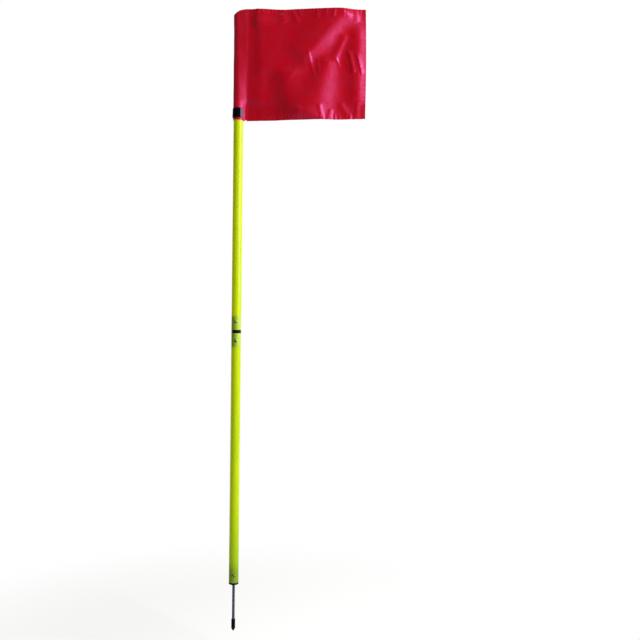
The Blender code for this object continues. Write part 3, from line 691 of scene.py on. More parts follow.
def make_tube(node, body, material, rivets):
    """A plain tube with eased end edges, drilled for its rivets. Rows of points on both sides
    of each hole keep the rest of the wall true."""
    start, end = low(node).z, high(node).z
    holes = sorted(middle_height(rivet) for rivet in rivets)
    rows = [height + side for height in holes for side in (-HOLE_MARGIN, HOLE_MARGIN)]
    outline = rounded([
        (BORE_RADIUS, start, TUBE_EDGE),
        (POLE_RADIUS, start, TUBE_EDGE),
        *((POLE_RADIUS, height) for height in rows),
        (POLE_RADIUS, end, TUBE_EDGE),
        (BORE_RADIUS, end, TUBE_EDGE),
        *((BORE_RADIUS, height) for height in reversed(rows)),
    ])
    tube = turned(f"{node}_neon", outline, TUBE_SIDES, material, body, node)
    drilled(tube, holes)


def thread_swell(height, angles):
    """How far the thread stands out: a raised cosine of the helix phase, height over pitch less
    the share of a turn, so that the helix is right-handed."""
    phase = tau * height[:, None] / THREAD_PITCH - angles
    return THREAD_DEPTH * (0.5 + 0.5 * np.cos(phase))


def threaded(name, before, thread, after, base, material, body, stands_for, round_rows):
    """A turned piece with a threaded stretch: rows of (radius, height) before and after it, and
    the thread's own grid of radii and heights between."""
    angles = (np.arange(PLUG_SIDES) + 0.5) * tau / PLUG_SIDES
    radii, heights = thread(angles)
    plain = [np.broadcast_to(rows[:, :1], (len(rows), PLUG_SIDES)) for rows in (before, after)]
    radius = np.vstack((plain[0], radii, plain[1]))
    height = np.concatenate((before[:, 1], heights, after[:, 1]))[:, None] + base
    height = np.broadcast_to(height, radius.shape)
    points = np.stack((radius * np.cos(angles), radius * np.sin(angles), height), axis=-1)
    faces = grid_faces(*radius.shape, round_rows=round_rows, round_columns=True)
    return piece(name, points, faces, material, body, stands_for)


def spigot_thread(angles):
    """The male thread's rows, from its top down. It fades in and out at its two ends."""
    top, bottom = -NECK_LENGTH, -NECK_LENGTH - THREAD_LENGTH
    rows = round(THREAD_ROWS_PER_PITCH * THREAD_LENGTH / THREAD_PITCH) + 1
    heights = np.linspace(top, bottom, rows)
    fade = smooth_step(np.minimum(top - heights, heights - bottom) / THREAD_FADE)
    return THREAD_ROOT + fade[:, None] * thread_swell(heights, angles), heights


def socket_thread(angles):
    """The female thread's rows, from its mouth down, in step with the male thread."""
    end = -NECK_LENGTH - THREAD_LENGTH - SOCKET_SPARE
    heights = np.linspace(-SOCKET_MOUTH, end - THREAD_FADE, 4 * THREAD_ROWS_PER_PITCH)
    fade = smooth_step((heights - end + THREAD_FADE) / THREAD_FADE)
    swell = thread_swell(heights - SEAT, angles)
    return THREAD_ROOT + THREAD_CLEARANCE + fade[:, None] * swell, heights


def make_spigot_plug(material):
    """Core, body in the upper tube, collar, neck, thread and plain pilot."""
    body_top = high("spigot_plug").z - UPPER_BASE
    tip = low("spigot_plug").z - UPPER_BASE
    thread_end = -NECK_LENGTH - THREAD_LENGTH
    before = rounded([
        (0.0, SPIGOT_FLOOR),
        (CORE_RADIUS, SPIGOT_FLOOR),
        (CORE_RADIUS, body_top),
        (PLUG_RADIUS, body_top, PLUG_CHAMFER),
        (PLUG_RADIUS, COLLAR_HEIGHT),
        (POLE_RADIUS, COLLAR_HEIGHT, COLLAR_EDGE),
        (POLE_RADIUS, 0.0, COLLAR_EDGE),
        *((THREAD_ROOT + out, height) for out, height in NECK_EASING),
    ])
    after = rounded([
        (PILOT_RADIUS, thread_end - PILOT_STEP),
        (PILOT_RADIUS, tip, PILOT_EDGE),
        (0.0, tip),
    ])
    made = threaded(
        "spigot_plug_black", before, spigot_thread, after, UPPER_BASE, material, "upper_section",
        "spigot_plug", False,
    )
    return drilled(made, [middle_height("spigot_rivet")])


def make_socket_plug(material):
    """Threaded bore, core open below, body in the lower tube and collar."""
    end = low("socket_plug").z - JOINT
    bore = THREAD_ROOT + THREAD_CLEARANCE
    mouth = (bore + THREAD_DEPTH + SOCKET_MOUTH, 0.0)
    before = np.array([mouth])
    after = rounded([
        (bore, end),
        (PLUG_RADIUS, end, PLUG_CHAMFER),
        (PLUG_RADIUS, -COLLAR_HEIGHT),
        (POLE_RADIUS, -COLLAR_HEIGHT, COLLAR_EDGE),
        (POLE_RADIUS, 0.0, COLLAR_EDGE),
        mouth,
    ])[:-1]
    made = threaded(
        "socket_plug_black", before, socket_thread, after, JOINT, material, "lower_section",
        "socket_plug", True,
    )
    return drilled(made, [middle_height("socket_rivet")])


def make_top_cap(material):
    """Domed cap with a hollow skirt; the dome is a quarter of an ellipse over its rim."""
    top = high("top_cap").z
    skirt = low("top_cap").z
    base = skirt + CAP_SKIRT
    rim = base + CAP_RIM
    angle = np.linspace(0.0, pi / 2, 19)
    dome = np.column_stack((POLE_RADIUS * np.cos(angle), rim + (top - rim) * np.sin(angle)))
    skirt_bore = PLUG_RADIUS - CAP_WALL
    under = rounded([
        (0.0, base),
        (skirt_bore, base),
        (skirt_bore, skirt),
        (PLUG_RADIUS, skirt, PLUG_CHAMFER),
        (PLUG_RADIUS, base),
        (POLE_RADIUS, base, COLLAR_EDGE),
        (POLE_RADIUS, rim),
    ])
    outline = np.vstack((under[:-1], dome))
    turned("top_cap_black", outline, PLUG_SIDES, material, "cap", "top_cap")


def groove(radius):
    """The keying groove's outline at a radius, from its top down."""
    floor, top = radius - GROOVE_DEPTH, GROOVE_LOW + GROOVE_WIDTH
    sides = [(floor, top - GROOVE_DEPTH), (floor, GROOVE_LOW + GROOVE_DEPTH)]
    return [(radius, top), *sides, (radius, GROOVE_LOW)]


def make_foot_plug(material):
    """Round-edged rim under the tube, and a body that holds the spike and the foot rivet."""
    top = high("foot_plug").z
    spike_top = high("ground_spike").z
    outline = rounded([
        (0.0, spike_top + SEAT),
        (SPIKE_BORE, spike_top + SEAT),
        *groove(SPIKE_BORE),
        (SPIKE_BORE, 0.0, BORE_EDGE),
        (POLE_RADIUS, 0.0, FOOT_EDGE),
        (POLE_RADIUS, FOOT_RIM, COLLAR_EDGE),
        (PLUG_RADIUS, FOOT_RIM),
        (PLUG_RADIUS, top, PLUG_CHAMFER),
        (0.0, top),
    ], steps=10)
    plug = turned(
        "foot_plug_black", outline, PLUG_SIDES, material, "lower_section", "foot_plug"
    )
    drilled(plug, [middle_height("foot_rivet")], SPIKE_BORE + FOOT_HOLE_WALL)


def make_spike(material):
    """Round rod with a conical point, whose shoulder is eased by grinding."""
    tip, top = low("ground_spike").z, high("ground_spike").z
    outline = rounded([
        (0.0, tip),
        (SPIKE_TIP_RADIUS, tip + SPIKE_TIP_CROWN),
        (SPIKE_RADIUS, tip + SPIKE_POINT, SPIKE_SHOULDER),
        *reversed(groove(SPIKE_RADIUS)),
        (SPIKE_RADIUS, top, SPIKE_EDGE),
        (0.0, top),
    ])
    turned(
        "ground_spike_zinc", outline, SPIKE_SIDES, material, "lower_section",
        "ground_spike",
    )


def make_protector(material):
    """Pointed cap over the spike's end, drawn in a little along its waist."""
    radius = high("tip_protector").x
    bottom, top = low("tip_protector").z, high("tip_protector").z
    spike_tip = low("ground_spike").z
    waist = (bottom + PROTECTOR_TAPER + top) / 2
    outline = rounded([
        (0.0, bottom),
        (PROTECTOR_TIP, bottom + PROTECTOR_CROWN),
        (radius, bottom + PROTECTOR_TAPER, PROTECTOR_SHOULDER),
        (radius - PROTECTOR_WAIST, waist, PROTECTOR_WAIST_ROUNDING),
        (radius, top, PROTECTOR_RIM),
        (SPIKE_BORE, top, BORE_EDGE),
        (SPIKE_BORE, spike_tip + SPIKE_POINT - SEAT),
        (0.0, spike_tip - SEAT * SPIKE_POINT / SPIKE_RADIUS),
    ])
    turned(
        "tip_protector_black", outline, PLUG_SIDES, material, "protector",
        "tip_protector",
    )


def make_rivet(node, body, metal, pin_metal):
    """A hollow rivet and the pin left in it, both along -Y. The head's dome is a quarter ellipse
    that ends in a small lip round the bore."""
    tail, height, base = -high(node).y, middle_height(node), POLE_RADIUS + SEAT
    angle = np.linspace(0.0, acos((RIVET_BORE + RIVET_LIP) / RIVET_RADIUS), 16)
    head = np.column_stack((RIVET_RADIUS * np.cos(angle), base + RIVET_HEAD * np.sin(angle)))
    crown = head[-1, 1]
    lip = [(RIVET_BORE, crown - RIVET_LIP), (RIVET_BORE, tail)]
    set_bulb = [
        (BULB_RADIUS - BULB_EDGE, tail),
        (BULB_RADIUS, tail + BULB_LENGTH / 2),
        (BULB_RADIUS - BULB_EDGE, tail + BULB_LENGTH),
        (RIVET_SHANK, tail + BULB_LENGTH),
    ]
    shank = [(RIVET_SHANK, tail)] if node == "foot_rivet" else set_bulb
    outline = np.vstack((shank, [(RIVET_SHANK, base)], head, lip))
    turned(f"{node}_silver", outline, RIVET_SIDES, metal, body, node, height)
    pin = f"{node}_pin"
    start, end = -high(pin).y, -low(pin).y
    outline = rounded([
        (0.0, start),
        (PIN_HEAD_RADIUS, start, BULB_EDGE),
        (PIN_HEAD_RADIUS, start + PIN_HEAD_LENGTH, BULB_EDGE),
        (PIN_RADIUS, start + PIN_HEAD_LENGTH),
        (PIN_RADIUS, end, PIN_EDGE),
        (0.0, end),
    ])
    turned(
        f"{pin}_steel", outline, RIVET_SIDES // 2, pin_metal, body, pin, height
    )


# Flag


def ridges(x, z, folds):
    """How far the cloth stands towards -Y. Each fold is a bell across its crest's line, with a
    half width to either side, and fades with another bell past the line's two ends."""
    depth = np.zeros_like(x)
    size = np.array((PANEL_WIDTH, FLAG_HEIGHT))
    for start, end, left, right, height, growth in folds:
        foot = np.array(start) * size
        run = np.array(end) * size - foot
        length = hypot(*run)
        along = ((x - foot[0]) * run[0] + (z - foot[1]) * run[1]) / length**2
        across = ((x - foot[0]) * run[1] - (z - foot[1]) * run[0]) / length
        across = across * np.sign(run[1])
        grown = 1.0 + growth * np.clip(along, 0.0, 1.0)
        half = np.where(across > 0.0, right, left) * grown
        past = np.clip(np.maximum(-along, along - 1.0), 0.0, None)
        depth += height * grown * np.exp(-((across / half) ** 2) - (past / FOLD_END_SOFTNESS) ** 2)
    return depth


def seam_forward(v):
    """How far towards -Y the seam lies: none at the clip, blousing out just above it, and
    slowly more up to the top, so that the sleeve's front runs flat into the panel."""
    above_clip = v * FLAG_HEIGHT - (CLIP_HIGH - FLAG_BASE)
    blouse = SEAM_BLOUSE * smooth_step(above_clip / SEAM_BLOUSE_RUN)
    return blouse + SEAM_FORWARD * smooth_step(above_clip / SEAM_FORWARD_RUN)


def uneven_wave(distance, length):
    """A sine wave whose crests aren't evenly spaced: two slower waves drift its phase, and a
    third changes its size."""
    turn = distance * tau / length
    drift = 0.9 * np.sin(turn / 5.3) + 0.6 * np.sin(turn / 2.7 + 1.0)
    size = 0.7 + 0.3 * np.sin(turn / 4.1 + 2.0)
    return size * np.sin(turn + drift)


def edge_wave(edge, along, shift=0.0):
    """The uneven wave of one edge of the panel, at distances along it."""
    own_shift, length, _ = EDGE_RIPPLES[edge]
    return uneven_wave(along + own_shift + shift, RIPPLE_LENGTH * length)


def hem_drop(x):
    """How much lower the sleeve's bottom hem hangs than the panel's, easing out past the pole."""
    return SLEEVE_HEM_DROP * (1.0 - smooth_step((x - SLEEVE_HEM_RISE_START) / SLEEVE_HEM_RISE))


def panel_surface(u, v):
    """Places of the cloth's middle at shares of its width and height. Outwards it swings
    towards -Y by the sine of a quarter turn, its main folds and creases stand out from that,
    and its hems ripple; its outline dips and lifts as the formulas for x and z say."""
    x, z = u * PANEL_WIDTH, v * FLAG_HEIGHT
    swing = FLY_SWING * np.sin(pi / 2 * np.clip(u / SWING_REACH, 0.0, 1.0))
    swing = swing + seam_forward(v) * (1.0 - u) ** 2
    depth = swing + ridges(x, z, MAIN_FOLDS) * smooth_step(u / FOLD_ROOT_SHARE)
    depth += ridges(x, z, SMALL_CREASES) * smooth_step(u / CREASE_ROOT_SHARE)
    edges = (
        ("top", (1.0 - v) * FLAG_HEIGHT, x),
        ("bottom", z, x),
        ("fly", (1.0 - u) * PANEL_WIDTH, z),
        ("seam", x, z),
    )
    for edge, off, along in edges:
        near = np.exp(-((off / RIPPLE_REACH) ** 2))
        start = smooth_step(u / SEAM_RIPPLE_START) if edge == "seam" else 1.0
        depth += EDGE_RIPPLES[edge][2] * RIPPLE_HEIGHT * near * start * edge_wave(edge, along)
    top = FLY_TOP_RISE * u**6 - TOP_DIP * np.exp(-(((u - TOP_DIP_PLACE) / TOP_DIP_SPREAD) ** 2))
    top = top + EDGE_SCALLOP * edge_wave("top", x, SCALLOP_SHIFT)
    bottom = FLY_LIFT * u**FLY_LIFT_POWER - hem_drop(PANEL_START + x)
    bottom = bottom + EDGE_SCALLOP * edge_wave("bottom", x, SCALLOP_SHIFT)
    near_fly = smooth_step((u - 1.0 + FLY_CORNER_RUN) / FLY_CORNER_RUN)
    out = (FLY_BELLY * np.sin(pi * v) - FLY_TOP_PULL * v**2) * u**4
    out = out + EDGE_SCALLOP * edge_wave("fly", z) * near_fly
    return np.stack((
        PANEL_START + x + out,
        -depth,
        FLAG_BASE + bottom * (1.0 - v) + v * FLAG_HEIGHT + top * v**6,
    ), axis=-1)


def surface_normals(points):
    """Unit normals of a grid of points: the cross product of its two directions."""
    along_rows = np.gradient(points, axis=0)
    along_columns = np.gradient(points, axis=1)
    return unit(np.cross(along_rows, along_columns))


def cloth_solid(name, middle, half, flat, material, body, stands_for=None):
    """A closed thin solid on both sides of a middle surface: two grids, half a thickness off
    along the normals, joined by a rim."""
    normals = surface_normals(middle)
    rows, columns = middle.shape[:2]
    points = np.stack((middle - normals * half, middle + normals * half))
    faces = grid_faces(rows, columns)
    index = np.arange(rows * columns).reshape(rows, columns)
    rim = np.concatenate((index[0, :-1], index[:-1, -1], index[-1, :0:-1], index[:0:-1, 0]))
    ahead = np.roll(rim, -1)
    count = rows * columns
    walls = np.column_stack((rim, ahead, ahead + count, rim + count))
    shell = np.vstack((faces, faces[:, ::-1] + count, walls))
    both = np.stack((flat, flat))
    return piece(name, points, shell, material, body, stands_for, cloth_map=both, sharp=1.2)


def stitching(name, line, outward, material, start=0.0):
    """A row of stitches along a line of points: each is a small capsule, thickest in its middle,
    that lies on the cloth and dips into it at both ends."""
    steps = np.linalg.norm(np.diff(line, axis=0), axis=1)
    reach = np.concatenate(([0.0], np.cumsum(steps)))
    centres = np.arange(start + STITCH_PITCH / 2, reach[-1] - STITCH_PITCH / 2, STITCH_PITCH)
    along = np.linspace(-0.5, 0.5, STITCH_RINGS)
    places = centres[:, None] + along * STITCH_LENGTH
    spine = np.stack([np.interp(places, reach, line[:, axis]) for axis in range(3)], axis=-1)
    lift = np.stack([np.interp(places, reach, outward[:, axis]) for axis in range(3)], axis=-1)
    lift = unit(lift)
    tangent = unit(np.gradient(spine, axis=1))
    beside = unit(np.cross(lift, tangent))
    swell = np.sqrt(np.clip(1.0 - (2.0 * along) ** 2, 0.0, 1.0))
    radius = THREAD_THICKNESS / 2 * (STITCH_END_SHARE + (1.0 - STITCH_END_SHARE) * swell)
    off_cloth = THREAD_THICKNESS * (STITCH_RISE * swell - STITCH_DIP)
    spine = spine + lift * off_cloth[None, :, None]
    turn = np.arange(STITCH_SIDES) * tau / STITCH_SIDES
    ring = (
        spine[:, :, None, :]
        + beside[:, :, None, :] * (radius[None, :, None] * np.cos(turn))[..., None]
        + lift[:, :, None, :] * (radius[None, :, None] * np.sin(turn))[..., None]
    )
    count, rings, sides = ring.shape[:3]
    one = grid_faces(rings, sides, round_columns=True)
    ends = [list(range(sides)), list(range((rings - 1) * sides, rings * sides))]
    shift = np.arange(count)[:, None, None] * rings * sides
    faces = (one[None] + shift).reshape(-1, 4).tolist()
    for stitch in range(count):
        faces += [[corner + stitch * rings * sides for corner in end] for end in ends]
    return piece(name, ring, faces, material, "flag", sharp=1.2)


def toward_back(middle):
    """Normals of a stretch of the panel, turned to its back."""
    normals = surface_normals(middle)
    return normals * np.where(normals[..., 1:2] < 0, -1.0, 1.0)


def make_panel(material, thread):
    """The panel, its three turned hems behind it, and their stitching on both faces."""
    whole = np.linspace(0, 1, PANEL_COLUMNS)
    u, v = np.meshgrid(whole, np.linspace(0, 1, PANEL_ROWS), indexing="ij")
    flat = np.stack((u * PANEL_WIDTH, v * FLAG_HEIGHT), axis=-1)
    panel = cloth_solid(
        "flag_panel_cloth", panel_surface(u, v), CLOTH / 2, flat, material, "flag",
        "flag_panel",
    )
    wide, tall = HEM_WIDTH / PANEL_WIDTH, HEM_WIDTH / FLAG_HEIGHT
    ends = {
        "top": (whole, np.linspace(1 - tall, 1, HEM_COLUMNS)),
        "bottom": (whole, np.linspace(0, tall, HEM_COLUMNS)),
        "fly": (np.linspace(1 - wide, 1, HEM_COLUMNS), np.linspace(tall, 1 - tall, PANEL_ROWS)),
    }
    extras = []
    for name, (across, upward) in ends.items():
        hu, hv = np.meshgrid(across, upward, indexing="ij")
        middle = panel_surface(hu, hv)
        middle = middle + toward_back(middle) * HEM_OFFSET
        place = np.stack((hu * PANEL_WIDTH, hv * FLAG_HEIGHT), axis=-1)
        hem = cloth_solid(f"{name}_hem", middle, HEM_HALF, place, material, "flag")
        extras.append(hem)
    stitch_u, stitch_v = HEM_STITCH / PANEL_WIDTH, HEM_STITCH / FLAG_HEIGHT
    share = np.linspace(STITCH_ROW_INSET, 1 - STITCH_ROW_INSET, STITCH_ROW_POINTS)
    rows = {
        "top": (share, np.full_like(share, 1 - stitch_v)),
        "bottom": (share, np.full_like(share, stitch_v)),
        "fly": (np.full_like(share, 1 - stitch_u), share),
    }
    # Neighbours a thousandth of the panel to either side give each stitched line its normals
    beside = np.array((-1.0, 0.0, 1.0)) * 1e-3
    for name, (line_u, line_v) in rows.items():
        grid_u = line_u[:, None] + beside * (name == "fly")
        grid_v = line_v[:, None] + beside * (name != "fly")
        middle = panel_surface(grid_u, grid_v)
        back = toward_back(middle)[:, 1]
        line = middle[:, 1]
        front_line = line - back * CLOTH / 2
        back_line = line + back * (HEM_OFFSET + HEM_HALF)
        extras.append(stitching(f"{name}_stitching", front_line, -back, thread))
        start = STITCH_PITCH / 2
        extras.append(stitching(f"{name}_stitching_back", back_line, back, thread, start))
    return panel, extras


def shoulder_drop(x):
    """How far the sleeve's closed top lies below the flag's top edge on the pole's far side."""
    inward = (x + LOOSE_RADIUS) / SHOULDER_RUN
    return SHOULDER_DROP * np.clip(1.0 - inward, 0.0, None) ** 2


def panel_share(level):
    """A height above the sleeve's foot as a share of the panel's height."""
    return np.clip((SLEEVE_BASE + level - FLAG_BASE) / FLAG_HEIGHT, 0.0, 1.0)


def sleeve_side(levels, squeeze, side):
    """One face of the sleeve's section at each row: from its flange's end on the panel, along
    the panel to the seam, straight to where it touches the circle round the pole, and round to
    the far side. The squeeze is 1 under the clip and 0 where the cloth hangs loose."""
    squeeze, level = squeeze[:, None], levels[:, None]
    radius = LOOSE_RADIUS - CLOTH / 2 + squeeze * (PINCHED_RADIUS - LOOSE_RADIUS)
    root = SEAM - SEAM_CORNER + squeeze * (PINCHED_ROOT - SEAM + SEAM_CORNER)
    counts = (FLANGE_COLUMNS, STRAIGHT_COLUMNS, BEND_COLUMNS)
    flange, straight, bend = (np.linspace(0.0, 1.0, count)[None] for count in counts)
    x_flange = SLEEVE_FLANGE + (root - SLEEVE_FLANGE) * flange
    reach = np.clip((x_flange - PANEL_START) / PANEL_WIDTH, 0.0, 1.0)
    upward = np.broadcast_to(panel_share(level), reach.shape)
    y_flange = panel_surface(reach, upward)[..., 1] + side * CLOTH
    seam = y_flange[:, -1:]
    turn = np.arctan2(seam, root)
    touch = turn + side * np.arccos(np.clip(radius / np.hypot(root, seam), -1.0, 1.0))
    x_line = root + (radius * np.cos(touch) - root) * straight
    y_line = seam + (radius * np.sin(touch) - seam) * straight
    angle = touch + (side * pi - touch) * bend
    x = np.hstack((x_flange[:, :-1], x_line[:, :-1], radius * np.cos(angle)))
    y = np.hstack((y_flange[:, :-1], y_line[:, :-1], radius * np.sin(angle)))
    return x, y


def eased(values, passes):
    """Soften a row of values: each inner one moves to the mean of itself and its neighbours."""
    for _ in range(passes):
        inner = (values[:, :-2] + 2.0 * values[:, 1:-1] + values[:, 2:]) / 4.0
        values = np.hstack((values[:, :1], inner, values[:, -1:]))
    return values


def sleeve_middle():
    """The sleeve's middle surface, row by row up the pole, and its flat map. Over the cap both
    layers close to a seam: their distance from the panel's plane falls with height as a
    blunt ellipse, and the far side's top is lower by the shoulder's drop."""
    full = FLAG_TOP - SLEEVE_BASE
    body_rows = np.linspace(0.0, full - CLOSING_HEIGHT, SLEEVE_ROWS)
    turn = np.linspace(0.0, pi / 2, CLOSING_ROWS + 1)[1:]
    levels = np.concatenate((body_rows, full - CLOSING_HEIGHT * (1.0 - np.sin(turn))))
    clip_top = CLIP_HIGH - SLEEVE_BASE
    squeeze = 1.0 - smooth_step((levels - clip_top) / SLEEVE_EASE)
    sides = (sleeve_side(levels, squeeze, side) for side in (-1, 1))
    front, back = ([eased(values, 3) for values in side] for side in sides)
    x, y = (np.hstack((near, far[:, -2::-1])) for near, far in zip(front, back))
    level = levels[:, None]
    steps = np.hypot(np.diff(x, axis=1), np.diff(y, axis=1))
    girth = np.hstack((np.zeros((len(levels), 1)), np.cumsum(steps, axis=1)))
    loose = 1.0 - squeeze[:, None]
    angle = np.arctan2(y, x)
    above_clip = np.exp(-(((level - clip_top - GATHER_MIDDLE) / GATHER_REACH) ** 2)) * loose**0.5
    gathers = 0.5 + 0.5 * np.sin(GATHER_COUNT * angle + GATHER_SLANT * level)
    slack = np.sin(SLACK_COUNT * angle + SLACK_SLANT * level) * np.sin(SLACK_BEAT * level)
    swell = GATHER_HEIGHT * above_clip * gathers + SLACK_HEIGHT * loose * slack
    swell = swell + TOP_FULLNESS * smooth_step((level / full - FULLNESS_START) / FULLNESS_RUN)
    swell = swell * smooth_step((SEAM - x) / SEAM_CALM)
    spoke = np.hypot(x, y)
    x = x * (1.0 + swell / spoke)
    y = y * (1.0 + swell / spoke)
    to_top = np.clip((full - level) / CLOSING_HEIGHT, 0.0, 1.0)
    closing = (1.0 - (1.0 - to_top) ** CLOSING_POWER) ** (1.0 / CLOSING_POWER)
    toward_seam = np.clip((x + LOOSE_RADIUS) / (SEAM + LOOSE_RADIUS), 0.0, 1.0)
    plane = -seam_forward(panel_share(level)) * toward_seam
    y = plane + (y - plane) * np.where(x < SEAM, np.maximum(closing, CLOSED_SHARE), 1.0)
    up = level / full
    z = SLEEVE_BASE - hem_drop(x) * (1.0 - up) + up * (full - shoulder_drop(x))
    flat = np.stack((girth, np.broadcast_to(level, girth.shape)), axis=-1)
    return np.stack((x, y, z), axis=-1), flat


def make_sleeve(material, thread):
    """The sleeve with its stitching along both faces of the seam."""
    middle, flat = sleeve_middle()
    sleeve = cloth_solid(
        "flag_sleeve_cloth", middle, CLOTH / 2, flat, material, "flag", "flag_sleeve"
    )
    rows = np.arange(len(middle))
    extras = []
    for name, side in (("sleeve_stitching", -1.0), ("sleeve_stitching_back", 1.0)):
        outward = middle[:, :SEAM_COLUMNS][:, ::-1] if side < 0 else middle[:, -SEAM_COLUMNS:]
        past = np.argmax(outward[..., 0] > SLEEVE_STITCH, axis=1)
        inner, outer = outward[rows, past - 1], outward[rows, past]
        share = (SLEEVE_STITCH - inner[:, :1]) / (outer[:, :1] - inner[:, :1])
        out = np.tile((0.0, side, 0.0), (len(rows), 1))
        line = inner + (outer - inner) * share + out * CLOTH / 2
        extras.append(stitching(name, line, out, thread))
    return sleeve, extras, float(flat[len(rows) // 2, -1, 0])


def clip_rings():
    """Sections of the clip round the pole: a rounded four-sided wall, thicker at its foot, whose
    lips stand out beside the mouth and are rounded off at both ends."""
    bore = -low("flag_clip").x - CLIP_BOTTOM_WALL
    lip = high("flag_clip")
    mouth = acos(min(1.0, lip.x / (bore + CLIP_BOTTOM_WALL + CLIP_FLARE)))
    angles = np.linspace(mouth, tau - mouth, CLIP_STATIONS)
    rings = []
    for angle in angles:
        past = min(angle, tau - angle) - mouth
        flare = CLIP_FLARE * (1.0 - float(smooth_step(past / CLIP_FLARE_SPAN)))
        inset = CLIP_END_ROUNDING * max(0.0, 1.0 - past * bore / CLIP_END_ROUNDING)
        shrink = CLIP_END_ROUNDING - sqrt(max(CLIP_END_ROUNDING**2 - inset**2, 0.0))
        section = rounded([
            (bore + CLIP_BOTTOM_WALL + flare - shrink, CLIP_LOW + shrink, CLIP_EDGE),
            (bore + CLIP_TOP_WALL + flare - shrink, CLIP_HIGH - shrink, CLIP_EDGE),
            (bore + shrink, CLIP_HIGH - shrink, CLIP_EDGE / 2),
            (bore + shrink, CLIP_LOW + shrink, CLIP_EDGE / 2),
        ])
        radius, height = section.T
        rings.append(np.column_stack((radius * cos(angle), radius * sin(angle), height)))
    return np.array(rings)


def make_clip(material):
    """The open ring: its sections joined round the pole, and both ends closed."""
    rings = clip_rings()
    rows, columns = rings.shape[:2]
    faces = grid_faces(rows, columns, round_columns=True).tolist()
    faces += [list(range(columns)), list(range((rows - 1) * columns, rows * columns))]
    piece("flag_clip_gloss", rings, faces, material, "clip", "flag_clip", sharp=0.9)


# Studio


def make_camera():
    """The photograph's camera: level, looking along +Y, rolled so that the pole's top leans
    right in the picture."""
    data = bpy.data.cameras.new("camera")
    data.lens = LENS_MM
    data.sensor_width = SENSOR_MM
    camera = bpy.data.objects.new("camera", data)
    camera.location = (VIEW_SIDE, -VIEW_DISTANCE, VIEW_HEIGHT)
    camera.rotation_euler = (pi / 2, -VIEW_ROLL, 0.0)
    bpy.context.scene.collection.objects.link(camera)
    bpy.context.scene.camera = camera


def softbox(name, azimuth, distance, height, width, tall, power):
    """A soft lamp that faces the pole; azimuth 0 is the camera's side and 90 is +X."""
    data = bpy.data.lights.new(name, "AREA")
    data.shape = "RECTANGLE"
    data.size, data.size_y = width, tall
    data.energy = power
    lamp = bpy.data.objects.new(name, data)
    side = radians(azimuth)
    lamp.location = (distance * sin(side), -distance * cos(side), height)
    lamp.rotation_euler = (pi / 2, 0.0, side)
    bpy.context.scene.collection.objects.link(lamp)


def make_world():
    """White where the camera sees it, and a soft fill on everything, warm from -X and dim from
    the front. Gloss shows the white backdrop behind the pole, a faint ceiling and a dim room."""
    world = bpy.data.worlds.new("studio")
    world.use_nodes = True
    tree = world.node_tree
    rays = add(tree, "ShaderNodeLightPath").outputs
    direction = add(tree, "ShaderNodeTexCoord").outputs["Generated"]
    way = add(tree, "ShaderNodeSeparateXYZ", Vector=direction).outputs
    backdrop = spread(tree, way["Y"], *BACKDROP_EDGE)
    ceiling = spread(tree, way["Z"], *CEILING_EDGE, 0.0, CEILING)
    room = blended(tree, worked(tree, "MAXIMUM", backdrop, ceiling), ROOM, WHITE)
    sides = blended(tree, spread(tree, way["X"], *FILL_SIDE_TURN), FILL_WARM, FILL_PLAIN)
    fill = blended(tree, spread(tree, way["Y"], *FILL_FRONT_TURN), FILL_FRONT, sides)
    mirrored = worked(tree, "MAXIMUM", rays["Is Glossy Ray"], rays["Is Transmission Ray"])
    unseen = blended(tree, mirrored, fill, room)
    color = blended(tree, rays["Is Camera Ray"], unseen, WHITE)
    tree.links.new(color, tree.nodes["Background"].inputs["Color"])
    bpy.context.scene.world = world


def make_floor():
    """A plain pale floor below the protector at its lowest. It keeps the pole's shadow, glows a
    little, and goes over into the white backdrop with distance. Gloss sees it dim in front."""
    level = cad_low.z - PROTECTOR_DROP
    mesh = bpy.data.meshes.new("floor")
    square = ((-1, -1), (1, -1), (1, 1), (-1, 1))
    corners = [(x * FLOOR_REACH, y * FLOOR_REACH, level) for x, y in square]
    mesh.from_pydata(corners, [], [(0, 1, 2, 3)])
    material, tree, shader = blank("pale_floor", FLOOR_COLOR, 0.9, Specular_IOR_Level=0.0)
    rays = add(tree, "ShaderNodeLightPath").outputs
    place = add(tree, "ShaderNodeTexCoord").outputs["Object"]
    distance = add(tree, "ShaderNodeVectorMath", {"operation": "LENGTH"}, i0=place).outputs["Value"]
    depth = add(tree, "ShaderNodeSeparateXYZ", Vector=place).outputs["Y"]
    seen = worked(tree, "MAXIMUM", rays["Is Camera Ray"], rays["Is Glossy Ray"])
    edge = worked(tree, "MULTIPLY", spread(tree, distance, *FLOOR_EDGE), seen)
    in_front = spread(tree, depth, 0.0, FLOOR_FRONT_END, 1.0, 0.0)
    dim_share = worked(tree, "MULTIPLY", rays["Is Glossy Ray"], in_front)
    farther = spread(tree, distance, *FLOOR_GLOSS_SPREAD)
    nearby = blended(tree, farther, FLOOR_GLOSS_NEAR, FLOOR_GLOSS_FAR)
    glow = add(tree, "ShaderNodeEmission", Strength=worked(tree, "MULTIPLY", seen, FLOOR_GLOW))
    white = add(tree, "ShaderNodeEmission", Strength=1.0)
    dim = add(tree, "ShaderNodeEmission", Color=nearby, Strength=1.0)
    lit = add(tree, "ShaderNodeAddShader", i0=shader.outputs[0], i1=glow.outputs[0])
    both = add(tree, "ShaderNodeMixShader", i0=edge, i1=lit.outputs[0], i2=white.outputs[0])
    shown = add(tree, "ShaderNodeMixShader", i0=dim_share, i1=both.outputs[0], i2=dim.outputs[0])
    tree.links.new(shown.outputs[0], tree.nodes["Material Output"].inputs["Surface"])
    mesh.materials.append(material)
    floor = bpy.data.objects.new("floor", mesh)
    bpy.context.scene.collection.objects.link(floor)


make_camera()
